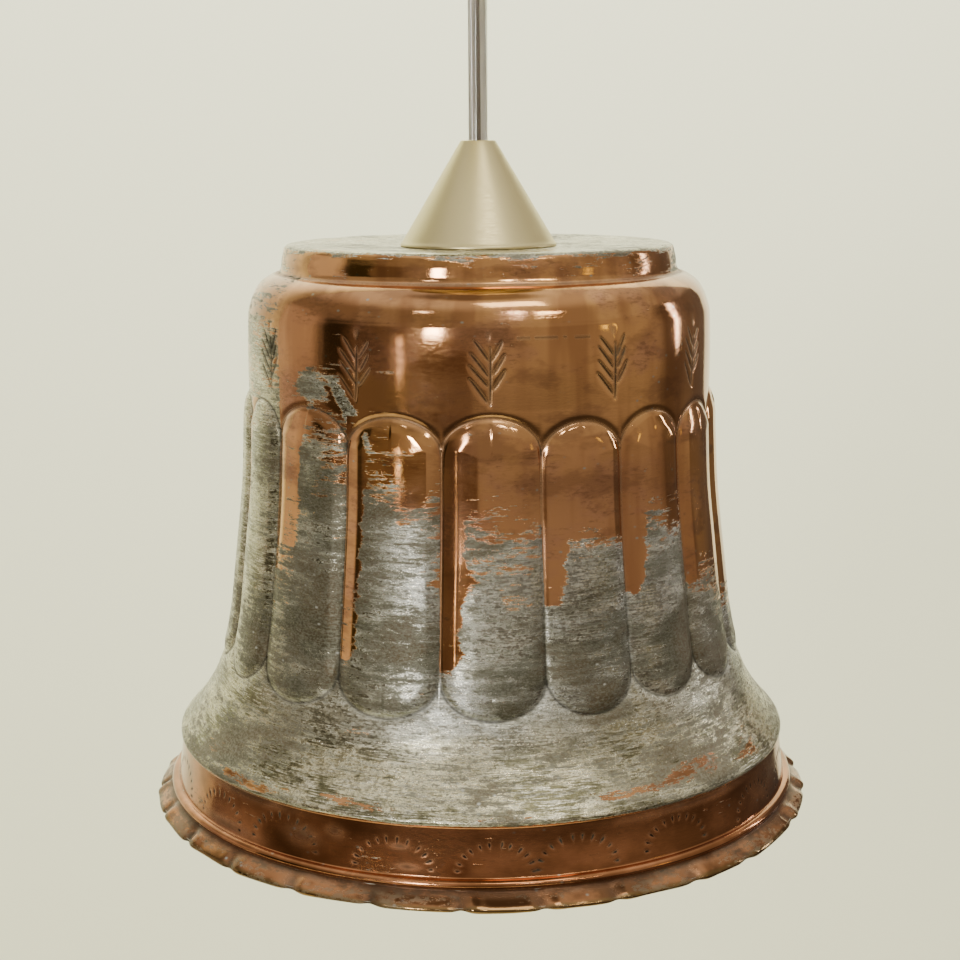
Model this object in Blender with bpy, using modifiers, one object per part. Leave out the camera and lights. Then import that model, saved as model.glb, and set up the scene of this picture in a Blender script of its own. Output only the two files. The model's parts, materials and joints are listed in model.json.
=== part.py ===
"""Pendant lamp. Its shade is an old tinned-copper vessel hung mouth down.

The lamp hangs from a ceiling hook. Every length is in metres, +Z is up, and the origin is the centre of the
ceiling plate's top face, so the whole lamp lies below z = 0. Angles round the lamp are counted in degrees from
its front, which faces -Y, towards +X.
"""

import math

import bmesh
import bpy
from mathutils import Matrix, Vector

MM = 0.001
GAP = 0.3 * MM  # left between pieces that touch on the real lamp
ROUND = 20  # sides of a small round piece
LARGE_ROUND = 36  # sides of the canopy, the cone and the ceiling plate
Y_AXIS = Vector((0, 1, 0))
Z_AXIS = Vector((0, 0, 1))

# Heights of the joints.
HOOK_PIVOT_Z = -28 * MM  # middle of the hook's wire, where the link hangs
EYE_PIVOT_Z = -36 * MM  # middle of the link's lower wire, where the cord clamp hangs
CANOPY_FOOT_Z = -62 * MM
SHADE_TOP_Z = -160 * MM

# Ceiling plate and hook.
PLATE_RADIUS = 30 * MM
PLATE_THICKNESS = 2.5 * MM
BOSS_RADIUS = 7 * MM
BOSS_FOOT_Z = -11 * MM
PLATE_SCREW_X = 20 * MM
PLATE_SCREW_HOLE = 2.3 * MM
HOOK_WIRE = 2.2 * MM
HOOK_BEND = 6.5 * MM

# Link and cord clamp.
LINK_WIRE = 1.5 * MM
LINK_BEND = 4 * MM
EYE_HOLE = 2.3 * MM
EYE_RADIUS = 4.6 * MM
EYE_HALF_THICKNESS = 1.25 * MM
CLAMP_HALF_WIDTH = 9 * MM
CLAMP_TOP_Z = -41 * MM
CLAMP_BRIDGE = 2.5 * MM
CLAMP_FOOT_Z = -57 * MM
CLAMP_BACK_Y = -7 * MM
CLAMP_FRONT_Y = 3.5 * MM
SADDLE_TOP_Z = -50 * MM
SADDLE_FRONT_Y = 5.5 * MM
SADDLE_BACK_Y = 0.8 * MM
CLAMP_SCREW_X = 6.6 * MM
SCREW_SHANK = 1.2 * MM
SCREW_HOLE = SCREW_SHANK + GAP

# Terminal block: ways side by side along Y.
BLOCK_NEAR_X = 19 * MM
BLOCK_FAR_X = 30 * MM
BLOCK_HALF_LENGTH = 8 * MM
BLOCK_TOP_Z = -42.5 * MM
BLOCK_FOOT_Z = -50.5 * MM
BLOCK_WIRE_Z = -46.5 * MM
WAY_PITCH = 5 * MM

# Cord and its cores.
CORD_RADIUS = 3.4 * MM
CORD_HOLE = CORD_RADIUS + GAP
CORD_TOP_Z = -49 * MM
CORD_FOOT_Z = SHADE_TOP_Z + 14 * MM
CORE_RADIUS = 1.0 * MM
CORE_HOLE = CORE_RADIUS + GAP
CORE_OFFSET = 1.9 * MM  # from the cord's axis to each core's

# Canopy, the cup that hides the hook.
CANOPY_WALL = 1.0 * MM
CANOPY_OUTLINE = ((50, -8), (50, -34), (48.4, -44), (43, -53), (33, -59.2), (20, -61.6), (5.2, -62))
CANOPY_NUT_HOLE = 5.2 * MM
BUSH_OUTLINE = ((4.9, -57.6), (4.9, -62.3), (8, -62.3), (8, -68), (3.9, -68), (3.9, -57.6))
BUSH_SCREW_Z = -65.2 * MM

# Shade. Its outline runs from the hole in its top to the rim, as (radius, height over its top) in millimetres.
SHADE_WALL = 1.2 * MM
SHADE_SECTORS = 72
SHADE_OUTLINE = (
    (5.4, 0.0),
    (67.6, 0.0),
    (69.2, -2.4),
    (70.6, -8.2),
    (75.8, -11.0),
    (79.2, -15.0),
    (82.0, -21.5),
    (82.6, -49.0),
    (83.0, -58.0),
    (84.2, -82.0),
    (86.8, -104.0),
    (89.8, -126.0),
    (91.2, -136.0),
    (94.6, -146.0),
    (98.6, -156.0),
    (104.0, -165.0),
    (109.4, -172.5),
    (113.0, -188.6),
    (118.8, -193.2),
    (120.0, -198.3),
)
LOBES = 18
LOBE_PHASE = 2.0  # degrees from the front to the middle of the nearest lobe
LOBE_DEPTH = 2.6 * MM
LOBE_TOP = -50 * MM  # over the shade's top
LOBE_FOOT = -145 * MM
LOBE_EASE = 7 * MM  # the length over which a lobe rises from the wall at its ends

# Cone that hides the cord grip, standing on the shade. Heights from here on are over the shade's top.
CONE_WALL = 1.2 * MM
CONE_OUTLINE = ((5, 36.7), (6.0, 36.7), (26.9, 1.9), (27.7, 1.1), (27.7, 0.3))

# Threaded tube that joins the shade, the cord grip and the lampholder.
TUBE_RADIUS = 5.0 * MM
TUBE_BORE = 3.8 * MM
TUBE_TOP = 12.5 * MM
TUBE_FOOT = -17 * MM
TUBE_HOLE = TUBE_RADIUS + GAP
NUT_ACROSS_FLATS = 14 * MM
WASHER_THICKNESS = 1.4 * MM
NUT_DEPTH = 2.8 * MM
GRIP_RADIUS = 8 * MM
GRIP_FOOT = 5 * MM
GRIP_TOP = 27 * MM
GRIP_SCREW = 20.5 * MM

# Lampholder.
HOLDER_WALL = 1.6 * MM
HOLDER_CAP_OUTLINE = ((5.3, -7), (11, -7), (17, -11.5), (20.5, -18.5), (20.5, -29))
HOLDER_SKIRT_OUTLINE = ((20.5, -29.3), (20.5, -61), (19.4, -68), (16.2, -68), (16.2, -36.6), (18.2, -36.6),
                        (18.2, -29.3))
INSERT_RADIUS = 17.8 * MM
INSERT_TOP = -25 * MM
INSERT_FOOT = -36 * MM
INSERT_CORE_OFFSET = 9 * MM
INSERT_SCREW_OFFSET = 13.4 * MM
SHELL_RADIUS = 14.6 * MM
SHELL_WALL = 0.6 * MM
SHELL_FOOT = -66 * MM
CONTACT_OUTLINE = ((0, -36.3), (3.4, -36.3), (3.4, -37), (2.4, -38.6), (1.4, -39), (0, -39))

# Bulb.
CAP_RADIUS = 13.3 * MM
CAP_THREAD_DEPTH = 0.8 * MM
CAP_THREAD_PITCH = 3.63 * MM
CAP_TURNS = 5
CAP_TOP = -45.5 * MM
CAP_FOOT = -70 * MM
GLASS_WALL = 0.8 * MM
GLASS_OUTLINE = ((10.9, -58), (10.9, -70.5), (12.6, -77), (17, -85), (24, -97), (28.8, -109), (30, -120),
                 (28.4, -132), (23, -142.4), (14, -148.6), (5, -150.2), (0, -150.4))
CAP_END_OUTLINE = ((0, -41), (4.6, -41), (7.2, -45), (7.2, -48), (0, -48))
CAP_CONTACT_OUTLINE = ((0, -39.4), (2.6, -39.6), (4.2, -40.6), (0, -40.7))
STEM_OUTLINE = ((0, -57), (6.5, -57), (3.4, -66), (2.4, -82), (1.4, -86), (1.4, -126), (0, -127.5))
FILAMENTS = 4
FILAMENT_RADIUS = 0.9 * MM

SHARP_ANGLE = math.radians(32)


def clear_scene():
    for obj in list(bpy.data.objects):
        bpy.data.objects.remove(obj, do_unlink=True)


def collection(name):
    made = bpy.data.collections.new(name)
    bpy.context.scene.collection.children.link(made)
    return made


def material(name, colour, roughness, metallic=0.0, alpha=1.0):
    made = bpy.data.materials.new(name)
    made.use_nodes = True
    shader = made.node_tree.nodes["Principled BSDF"]
    shader.inputs["Base Color"].default_value = (*colour, 1.0)
    shader.inputs["Roughness"].default_value = roughness
    shader.inputs["Metallic"].default_value = metallic
    shader.inputs["Alpha"].default_value = alpha
    made.diffuse_color = (*colour, alpha)
    return made


clear_scene()
LAMP = collection("pendant_lamp")
CUTTERS = collection("cutters")

COPPER = material("tinned_copper", (0.62, 0.33, 0.19), 0.28, 1.0)
NICKEL = material("satin_nickel", (0.63, 0.60, 0.50), 0.38, 1.0)
STEEL = material("zinc_plated_steel", (0.62, 0.63, 0.65), 0.35, 1.0)
BRASS = material("brass", (0.72, 0.55, 0.25), 0.3, 1.0)
CLEAR_PVC = material("clear_pvc", (0.72, 0.72, 0.70), 0.15, 0.0, 0.5)
BLACK_PLASTIC = material("black_plastic", (0.03, 0.03, 0.03), 0.45)
WHITE_PLASTIC = material("white_plastic", (0.85, 0.85, 0.82), 0.4)
CERAMIC = material("ceramic", (0.88, 0.86, 0.80), 0.3)
GLASS = material("clear_glass", (0.95, 0.97, 0.97), 0.02, 0.0, 0.2)
BLACK_GLASS = material("black_glass", (0.02, 0.02, 0.025), 0.1)
ALUMINIUM = material("aluminium", (0.75, 0.75, 0.76), 0.3, 1.0)
PHOSPHOR = material("phosphor", (0.90, 0.72, 0.20), 0.5)
# One core of each colour, with the way of the terminal block that it goes to and its angle in the cord.
CORES = (
    ("live", 0, 0, material("brown_insulation", (0.23, 0.10, 0.04), 0.4)),
    ("neutral", 1, 120, material("blue_insulation", (0.03, 0.15, 0.50), 0.4)),
    ("earth", -1, 240, material("green_yellow_insulation", (0.25, 0.45, 0.05), 0.4)),
)


# Joints. Each moving group hangs on an empty that stands on its joint's axis.


def joint(name, height, parent=None):
    """An empty on the lamp's axis, at that height in the row frame."""
    made = bpy.data.objects.new(name, None)
    LAMP.objects.link(made)
    if parent:
        made.parent = parent
    made.location = (0, 0, height - height_of(parent))
    return made


def height_of(obj):
    """How high an empty stands in the row frame, summed up through its parents."""
    height = 0
    while obj:
        height += obj.location.z
        obj = obj.parent
    return height


CEILING = joint("ceiling", 0)
LINK_SWING = joint("link_swing", HOOK_PIVOT_Z, CEILING)
LAMP_SWING = joint("lamp_swing", EYE_PIVOT_Z, LINK_SWING)
CANOPY_SLIDE = joint("canopy_slide", CANOPY_FOOT_Z, LAMP_SWING)
SHADE_TWIST = joint("shade_twist", SHADE_TOP_Z, LAMP_SWING)
CONE_SLIDE = joint("cone_slide", SHADE_TOP_Z, SHADE_TWIST)
BULB_SLIDE = joint("bulb_slide", SHADE_TOP_Z, SHADE_TWIST)


# Shapes. Every mesh is made in the row frame, and its object then hangs on its joint.


def piece(name, mesh, look, parent):
    """A node of the lamp, made of a mesh or a curve in the row frame."""
    made = bpy.data.objects.new(name, mesh)
    mesh.name = name
    mesh.materials.clear()
    mesh.materials.append(look)
    LAMP.objects.link(made)
    made.parent = parent
    made.location = (0, 0, -height_of(parent))
    if made.type == "MESH":
        mesh.shade_smooth()
        mesh.set_sharp_from_angle(angle=SHARP_ANGLE)
    return made


def mesh_from(build):
    """A mesh made by build(bm) in bmesh."""
    mesh = bpy.data.meshes.new("shape")
    bm = bmesh.new()
    build(bm)
    bm.to_mesh(mesh)
    bm.free()
    return mesh


def evaluated(obj):
    """The mesh that obj's modifiers or its curve make. The object itself is removed."""
    bpy.context.view_layer.update()
    seen = obj.evaluated_get(bpy.context.evaluated_depsgraph_get())
    mesh = bpy.data.meshes.new_from_object(seen)
    bpy.data.objects.remove(obj, do_unlink=True)
    return mesh


def turned(outline, sectors=ROUND, foot=0.0, unit=MM):
    """A mesh turned about Z. Its outline is (radius, height over foot) pairs, and runs down its outer side.

    An outline with an end on the axis is left open, and any other closes on itself.
    """
    points = [(radius * unit, 0, foot + height * unit) for radius, height in outline]
    edges = [(i, i + 1) for i in range(len(points) - 1)]
    if outline[-1][0] > 0:
        edges.append((len(points) - 1, 0))
    mesh = bpy.data.meshes.new("outline")
    mesh.from_pydata(points, edges, [])
    return swept(mesh, sectors)


def swept(mesh, sectors):
    """Turns a mesh of edges about Z with the Screw modifier."""
    spun = bpy.data.objects.new("spun", mesh)
    bpy.context.scene.collection.objects.link(spun)
    screw = spun.modifiers.new("turn", "SCREW")
    screw.steps = sectors
    screw.render_steps = sectors
    screw.use_merge_vertices = True
    screw.merge_threshold = 0.00001
    return evaluated(spun)


def inset(outline, wall):
    """The outline moved inwards by wall, in the outline's own unit. Points on the axis stay on it."""
    normals = []
    for (r0, z0), (r1, z1) in zip(outline, outline[1:]):
        length = math.hypot(r1 - r0, z1 - z0)
        normals.append(((z0 - z1) / length, (r1 - r0) / length))
    moved = []
    for i, (radius, height) in enumerate(outline):
        before = normals[max(i - 1, 0)]
        after = normals[min(i, len(normals) - 1)]
        share = 1 + before[0] * after[0] + before[1] * after[1]
        x = (before[0] + after[0]) / share
        z = (before[1] + after[1]) / share
        moved.append((0.0 if radius == 0 else radius - wall * x, height - wall * z))
    return moved


def shell(outline, wall):
    """A closed outline: down the outer side and back up the inner one."""
    outline = list(outline)
    inner = inset(outline, wall / MM)
    if outline[-1][0] == 0:
        return inner[::-1] + outline
    return outline + inner[::-1]


def sleeve(outer, inner, top, foot, over=0.0, sectors=ROUND):
    """A plain washer, nut blank or tube, its top and foot counted from the height over."""
    return turned([(outer, top), (outer, foot), (inner, foot), (inner, top)], sectors, over, 1)


def along(axis):
    """The turn that carries Z onto axis."""
    return Z_AXIS.rotation_difference(axis).to_matrix().to_4x4()


def rod(start, end, radius, sectors=ROUND):
    """A solid cylinder between two points."""
    start = Vector(start)
    end = Vector(end)
    place = Matrix.Translation((start + end) / 2) @ along(end - start)
    size = {"radius1": radius, "radius2": radius, "depth": (end - start).length}
    return mesh_from(lambda bm: bmesh.ops.create_cone(bm, cap_ends=True, segments=sectors, matrix=place, **size))


def box(low, high):
    """A box between two corners."""
    low = Vector(low)
    high = Vector(high)
    place = Matrix.Translation((low + high) / 2) @ Matrix.Diagonal((*(high - low), 1))
    return mesh_from(lambda bm: bmesh.ops.create_cube(bm, size=1, matrix=place))


def pieces(name, meshes, look, parent):
    """Pieces that are alike, numbered from 1."""
    for number, mesh in enumerate(meshes, 1):
        piece(f"{name}_{number}", mesh, look, parent)


def combined(mesh, others, operation="DIFFERENCE"):
    """Cuts the other meshes from a mesh, or joins them to it, with Booleans. The cutters are kept."""
    blank = bpy.data.objects.new("blank", mesh)
    bpy.context.scene.collection.objects.link(blank)
    for other in others:
        cutter = bpy.data.objects.new("cutter", other)
        CUTTERS.objects.link(cutter)
        cutter.hide_render = True
        cutter.display_type = "WIRE"
        change = blank.modifiers.new("combine", "BOOLEAN")
        change.operation = operation
        change.object = cutter
    return evaluated(blank)


def wire(points, radius, closed=False, bevel_resolution=2):
    """A round wire along points, as a poly curve with filled ends."""
    data = bpy.data.curves.new("wire", "CURVE")
    data.dimensions = "3D"
    data.bevel_depth = radius
    data.bevel_resolution = bevel_resolution
    data.use_fill_caps = True
    spline = data.splines.new("POLY")
    spline.points.add(len(points) - 1)
    for spot, point in zip(spline.points, points):
        spot.co = (*point, 1)
    spline.use_cyclic_u = closed
    return data


def curve_through(points, step):
    """Points about a step apart on a smooth curve through points, by Catmull-Rom's formula."""
    points = [Vector(p) for p in points]
    ends = [2 * points[0] - points[1], *points, 2 * points[-1] - points[-2]]
    line = [points[0]]
    for a, b, c, d in zip(ends, ends[1:], ends[2:], ends[3:]):
        count = max(1, round((c - b).length / step))
        for t in (i / count for i in range(1, count + 1)):
            cubic = 3 * (b - c) + d - a
            line.append(0.5 * (2 * b + (c - a) * t + (2 * a - 5 * b + 4 * c - d) * t**2 + cubic * t**3))
    return line


def hex_nut(top, foot, hole, across_flats, over=0.0):
    """A hexagon nut round the lamp's axis."""
    corner = across_flats / 2 / math.cos(math.pi / 6)
    blank = rod((0, 0, over + foot), (0, 0, over + top), corner, 6)
    return combined(blank, [rod((0, 0, over + foot - MM), (0, 0, over + top + MM), hole, 16)])


def pan_screw(face, direction, shank, head=2.1 * MM, head_depth=1.4 * MM):
    """A screw whose head's outer face stands at a point, with its shank along direction."""
    radius = SCREW_SHANK
    outline = [
        (0, 0),
        (head * 0.8, 0),
        (head, -head_depth * 0.4),
        (head, -head_depth),
        (radius, -head_depth),
        (radius, -head_depth - shank),
        (0, -head_depth - shank),
    ]
    mesh = turned(outline, 12, 0.0, 1)
    mesh.transform(Matrix.Translation(face) @ along(-Vector(direction)))
    return mesh


def at_angle(radius, degrees, height):
    """A point round the lamp's axis."""
    angle = math.radians(degrees)
    return Vector((radius * math.sin(angle), -radius * math.cos(angle), height))


def over_shade(*points):
    """Points whose heights are counted from the shade's top, in the row frame."""
    return [Vector(point) + Vector((0, 0, SHADE_TOP_Z)) for point in points]


def ease(value):
    """0 below 0, 1 above 1, and smooth between."""
    value = min(1.0, max(0.0, value))
    return value * value * (3 - 2 * value)


# Ceiling plate, hook and link.


def make_ceiling_fitting():
    hole = HOOK_WIRE + GAP
    plate = [
        (0, 0),
        (PLATE_RADIUS, 0),
        (PLATE_RADIUS, -PLATE_THICKNESS),
        (BOSS_RADIUS, -PLATE_THICKNESS),
        (BOSS_RADIUS, BOSS_FOOT_Z),
        (hole, BOSS_FOOT_Z),
        (hole, -PLATE_THICKNESS),
        (0, -PLATE_THICKNESS),
    ]
    screw_holes = [
        rod((x, 0, MM), (x, 0, -2 * PLATE_THICKNESS), PLATE_SCREW_HOLE, 16)
        for x in (-PLATE_SCREW_X, PLATE_SCREW_X)
    ]
    piece("ceiling_plate", combined(turned(plate, LARGE_ROUND, 0.0, 1), screw_holes), STEEL, CEILING)

    centre_z = HOOK_PIVOT_Z + HOOK_BEND
    shank = [(0, 0, -PLATE_THICKNESS - GAP), (0, 0, centre_z + 8 * MM), (2.2 * MM, 0, centre_z + 6.6 * MM)]
    turns = [math.radians(45 - 17 * i) for i in range(17)]
    bend = [(HOOK_BEND * math.cos(t), 0, centre_z + HOOK_BEND * math.sin(t)) for t in turns]
    piece("ceiling_hook", wire(shank + bend, HOOK_WIRE), STEEL, CEILING)
    nut = hex_nut(BOSS_FOOT_Z - GAP, BOSS_FOOT_Z - 1.6 * MM, hole, 9 * MM)
    piece("hook_nut", nut, STEEL, CEILING)


def make_hanging_link():
    """A closed oval link in the YZ plane: over the hook's wire at its top, through the clamp's eye below."""
    foot_z = EYE_PIVOT_Z + LINK_BEND
    arc = [math.radians(22.5 * i) for i in range(9)]
    upper = [(0, LINK_BEND * math.cos(t), HOOK_PIVOT_Z + LINK_BEND * math.sin(t)) for t in arc]
    lower = [(0, -LINK_BEND * math.cos(t), foot_z - LINK_BEND * math.sin(t)) for t in arc]
    piece("hanging_link", wire(upper + lower, LINK_WIRE, closed=True), STEEL, LINK_SWING)


# Cord clamp, terminal block and the cores between them.


def make_cord_clamp():
    half = CLAMP_HALF_WIDTH
    bridge_foot = CLAMP_TOP_Z - CLAMP_BRIDGE
    back_y = -CORD_HOLE
    back_plate = box((-half, CLAMP_BACK_Y, CLAMP_FOOT_Z), (half, back_y, CLAMP_TOP_Z))
    bridge = box((-half, CLAMP_BACK_Y + MM, bridge_foot), (half, CLAMP_FRONT_Y, CLAMP_TOP_Z - 0.1 * MM))
    thick = EYE_HALF_THICKNESS
    eye = rod((0, -thick, EYE_PIVOT_Z), (0, thick, EYE_PIVOT_Z), EYE_RADIUS)
    neck_width = EYE_RADIUS - 0.1 * MM
    neck = box((-neck_width, -thick + 0.1 * MM, CLAMP_TOP_Z - MM), (neck_width, thick - 0.1 * MM, EYE_PIVOT_Z))
    body = combined(back_plate, [bridge, eye, neck], "UNION")
    saddle_z = (SADDLE_TOP_Z + CLAMP_FOOT_Z) / 2
    screw_places = [(x, saddle_z) for x in (-CLAMP_SCREW_X, CLAMP_SCREW_X)]
    screw_holes = [rod((x, -8 * MM, z), (x, 7 * MM, z), SCREW_HOLE, 16) for x, z in screw_places]
    eye_hole = rod((0, -5 * MM, EYE_PIVOT_Z), (0, 5 * MM, EYE_PIVOT_Z), EYE_HOLE)
    piece("cord_clamp", combined(body, [eye_hole, *screw_holes]), WHITE_PLASTIC, LAMP_SWING)

    saddle = box((-half, SADDLE_BACK_Y, CLAMP_FOOT_Z), (half, SADDLE_FRONT_Y, SADDLE_TOP_Z))
    groove = rod((0, 0, CLAMP_FOOT_Z - MM), (0, 0, SADDLE_TOP_Z + MM), CORD_HOLE)
    holes = [rod((x, -MM, z), (x, 7 * MM, z), SCREW_HOLE, 16) for x, z in screw_places]
    piece("clamp_saddle", combined(saddle, [groove, *holes]), WHITE_PLASTIC, LAMP_SWING)

    head = 1.4 * MM
    front = SADDLE_FRONT_Y + GAP + head
    screws = [pan_screw((x, front, z), -Y_AXIS, front - head - CLAMP_BACK_Y) for x, z in screw_places]
    pieces("clamp_screw", screws, STEEL, LAMP_SWING)


def make_terminal_block():
    ways = [way * WAY_PITCH for _, way, _, _ in CORES]
    block = box((BLOCK_NEAR_X, -BLOCK_HALF_LENGTH, BLOCK_FOOT_Z), (BLOCK_FAR_X, BLOCK_HALF_LENGTH, BLOCK_TOP_Z))
    wire_holes = [
        rod((BLOCK_NEAR_X - MM, y, BLOCK_WIRE_Z), (BLOCK_FAR_X + MM, y, BLOCK_WIRE_Z), CORE_HOLE, 12) for y in ways
    ]
    middle_x = (BLOCK_NEAR_X + BLOCK_FAR_X) / 2
    screw_x = middle_x + 2 * MM
    screw_foot = BLOCK_TOP_Z - 2.2 * MM
    screw_holes = [rod((screw_x, y, screw_foot), (screw_x, y, BLOCK_TOP_Z + MM), SCREW_HOLE, 12) for y in ways]
    piece("terminal_block", combined(block, wire_holes + screw_holes), WHITE_PLASTIC, LAMP_SWING)
    head_z = BLOCK_TOP_Z + GAP + MM
    screws = [pan_screw((screw_x, y, head_z), -Z_AXIS, 1.9 * MM, 2 * MM, MM) for y in ways]
    pieces("terminal_screw", screws, BRASS, LAMP_SWING)

    top = CORD_TOP_Z + GAP
    for name, way, angle, look in CORES:
        start = (CORE_OFFSET * math.cos(math.radians(angle)), CORE_OFFSET * math.sin(math.radians(angle)))
        run_y = way * 2.4 * MM
        route = [
            (*start, top),
            (start[0] + 0.1 * MM, start[1], top + 1.4 * MM),
            (start[0] + 2.2 * MM, (start[1] + run_y) / 2, top + 3.2 * MM),
            (7 * MM, run_y, top + 3.4 * MM),
            (11 * MM, run_y, top + 3.2 * MM),
            (16.5 * MM, way * WAY_PITCH, BLOCK_WIRE_Z),
            (22 * MM, way * WAY_PITCH, BLOCK_WIRE_Z),
        ]
        piece(f"{name}_core_at_ceiling", wire(curve_through(route, 1.5 * MM), CORE_RADIUS), look, LAMP_SWING)


def make_cord():
    count = 8
    points = [(0, 0, CORD_TOP_Z + (CORD_FOOT_Z - CORD_TOP_Z) * i / count) for i in range(count + 1)]
    piece("cord", wire(points, CORD_RADIUS, bevel_resolution=4), CLEAR_PVC, LAMP_SWING)


# Canopy.


def make_canopy():
    piece("canopy", turned(shell(CANOPY_OUTLINE, CANOPY_WALL), LARGE_ROUND), NICKEL, CANOPY_SLIDE)
    screw_hole = rod((3 * MM, 0, BUSH_SCREW_Z), (9 * MM, 0, BUSH_SCREW_Z), SCREW_HOLE, 16)
    piece("canopy_bush", combined(turned(BUSH_OUTLINE), [screw_hole]), NICKEL, CANOPY_SLIDE)
    piece("canopy_nut", hex_nut(-58.2 * MM, -60.7 * MM, CANOPY_NUT_HOLE, 13 * MM), BRASS, CANOPY_SLIDE)
    grub = rod((4.3 * MM, 0, BUSH_SCREW_Z), (7.7 * MM, 0, BUSH_SCREW_Z), SCREW_SHANK, 12)
    piece("canopy_grub_screw", grub, STEEL, CANOPY_SLIDE)


# Shade and cone.


def lobe_shape(angle, height):
    """0 in the grooves between the lobes and 1 along a lobe's middle, fading out at its two ends."""
    turn = (angle - LOBE_PHASE) * LOBES / 360
    across = 2 * abs(turn - round(turn))
    ends = ease((LOBE_TOP - height) / LOBE_EASE) * ease((height - LOBE_FOOT) / LOBE_EASE)
    return ends * (1 - across**2)


def make_shade():
    """A turned sheet whose wall is pushed out into lobes and then given the sheet's thickness."""
    points = [(radius * MM, 0, height * MM) for radius, height in SHADE_OUTLINE]
    edges = [(i, i + 1) for i in range(len(points) - 1)]
    outline = bpy.data.meshes.new("outline")
    outline.from_pydata(points, edges, [])
    mesh = swept(outline, SHADE_SECTORS)
    mesh.transform(Matrix.Rotation(math.radians(LOBE_PHASE) - math.pi / 2, 4, "Z"))
    for vertex in mesh.vertices:
        flat = Vector((vertex.co.x, vertex.co.y, 0))
        angle = math.degrees(math.atan2(flat.x, -flat.y))
        push = LOBE_DEPTH * (lobe_shape(angle, vertex.co.z) - 0.5 * lobe_shape(LOBE_PHASE, vertex.co.z))
        vertex.co += flat.normalized() * push
    mesh.transform(Matrix.Translation((0, 0, SHADE_TOP_Z)))
    shade = piece("shade", mesh, COPPER, SHADE_TWIST)
    sheet = shade.modifiers.new("sheet", "SOLIDIFY")
    sheet.thickness = SHADE_WALL
    sheet.offset = -1
    sheet.use_even_offset = True


def make_cone():
    piece("cone", turned(shell(CONE_OUTLINE, CONE_WALL), LARGE_ROUND, SHADE_TOP_Z), NICKEL, CONE_SLIDE)


# Threaded tube, its nuts and washers, and the cord grip.


def make_shade_fixing():
    over = SHADE_TOP_Z
    wall = SHADE_WALL
    tube = sleeve(TUBE_RADIUS, TUBE_BORE, TUBE_TOP, TUBE_FOOT, over)
    piece("threaded_tube", tube, BRASS, SHADE_TWIST)
    hole = TUBE_HOLE
    face = GAP + WASHER_THICKNESS
    piece("upper_washer", sleeve(11 * MM, hole, face, GAP, over), STEEL, SHADE_TWIST)
    upper_nut = hex_nut(face + GAP + NUT_DEPTH, face + GAP, hole, NUT_ACROSS_FLATS, over)
    piece("upper_nut", upper_nut, BRASS, SHADE_TWIST)
    lower_washer = sleeve(13 * MM, hole, -wall - GAP, -wall - face, over)
    piece("lower_washer", lower_washer, STEEL, SHADE_TWIST)
    lower_nut = hex_nut(-wall - face - GAP, -wall - face - GAP - NUT_DEPTH, hole, NUT_ACROSS_FLATS, over)
    piece("lower_nut", lower_nut, BRASS, SHADE_TWIST)

    step = TUBE_TOP + 0.5 * MM
    grip = [
        (GRIP_RADIUS, GRIP_TOP),
        (GRIP_RADIUS, GRIP_FOOT),
        (hole, GRIP_FOOT),
        (hole, step),
        (CORD_HOLE, step),
        (CORD_HOLE, GRIP_TOP),
    ]
    screw_hole = rod(*over_shade((0, -3 * MM, GRIP_SCREW), (0, -9 * MM, GRIP_SCREW)), SCREW_HOLE, 16)
    piece("cord_grip", combined(turned(grip, ROUND, over, 1), [screw_hole]), BLACK_PLASTIC, SHADE_TWIST)
    (face,) = over_shade((0, -GRIP_RADIUS - GAP - 1.4 * MM, GRIP_SCREW))
    piece("grip_screw", pan_screw(face, Y_AXIS, 3.6 * MM), WHITE_PLASTIC, SHADE_TWIST)


# Lampholder.


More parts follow.
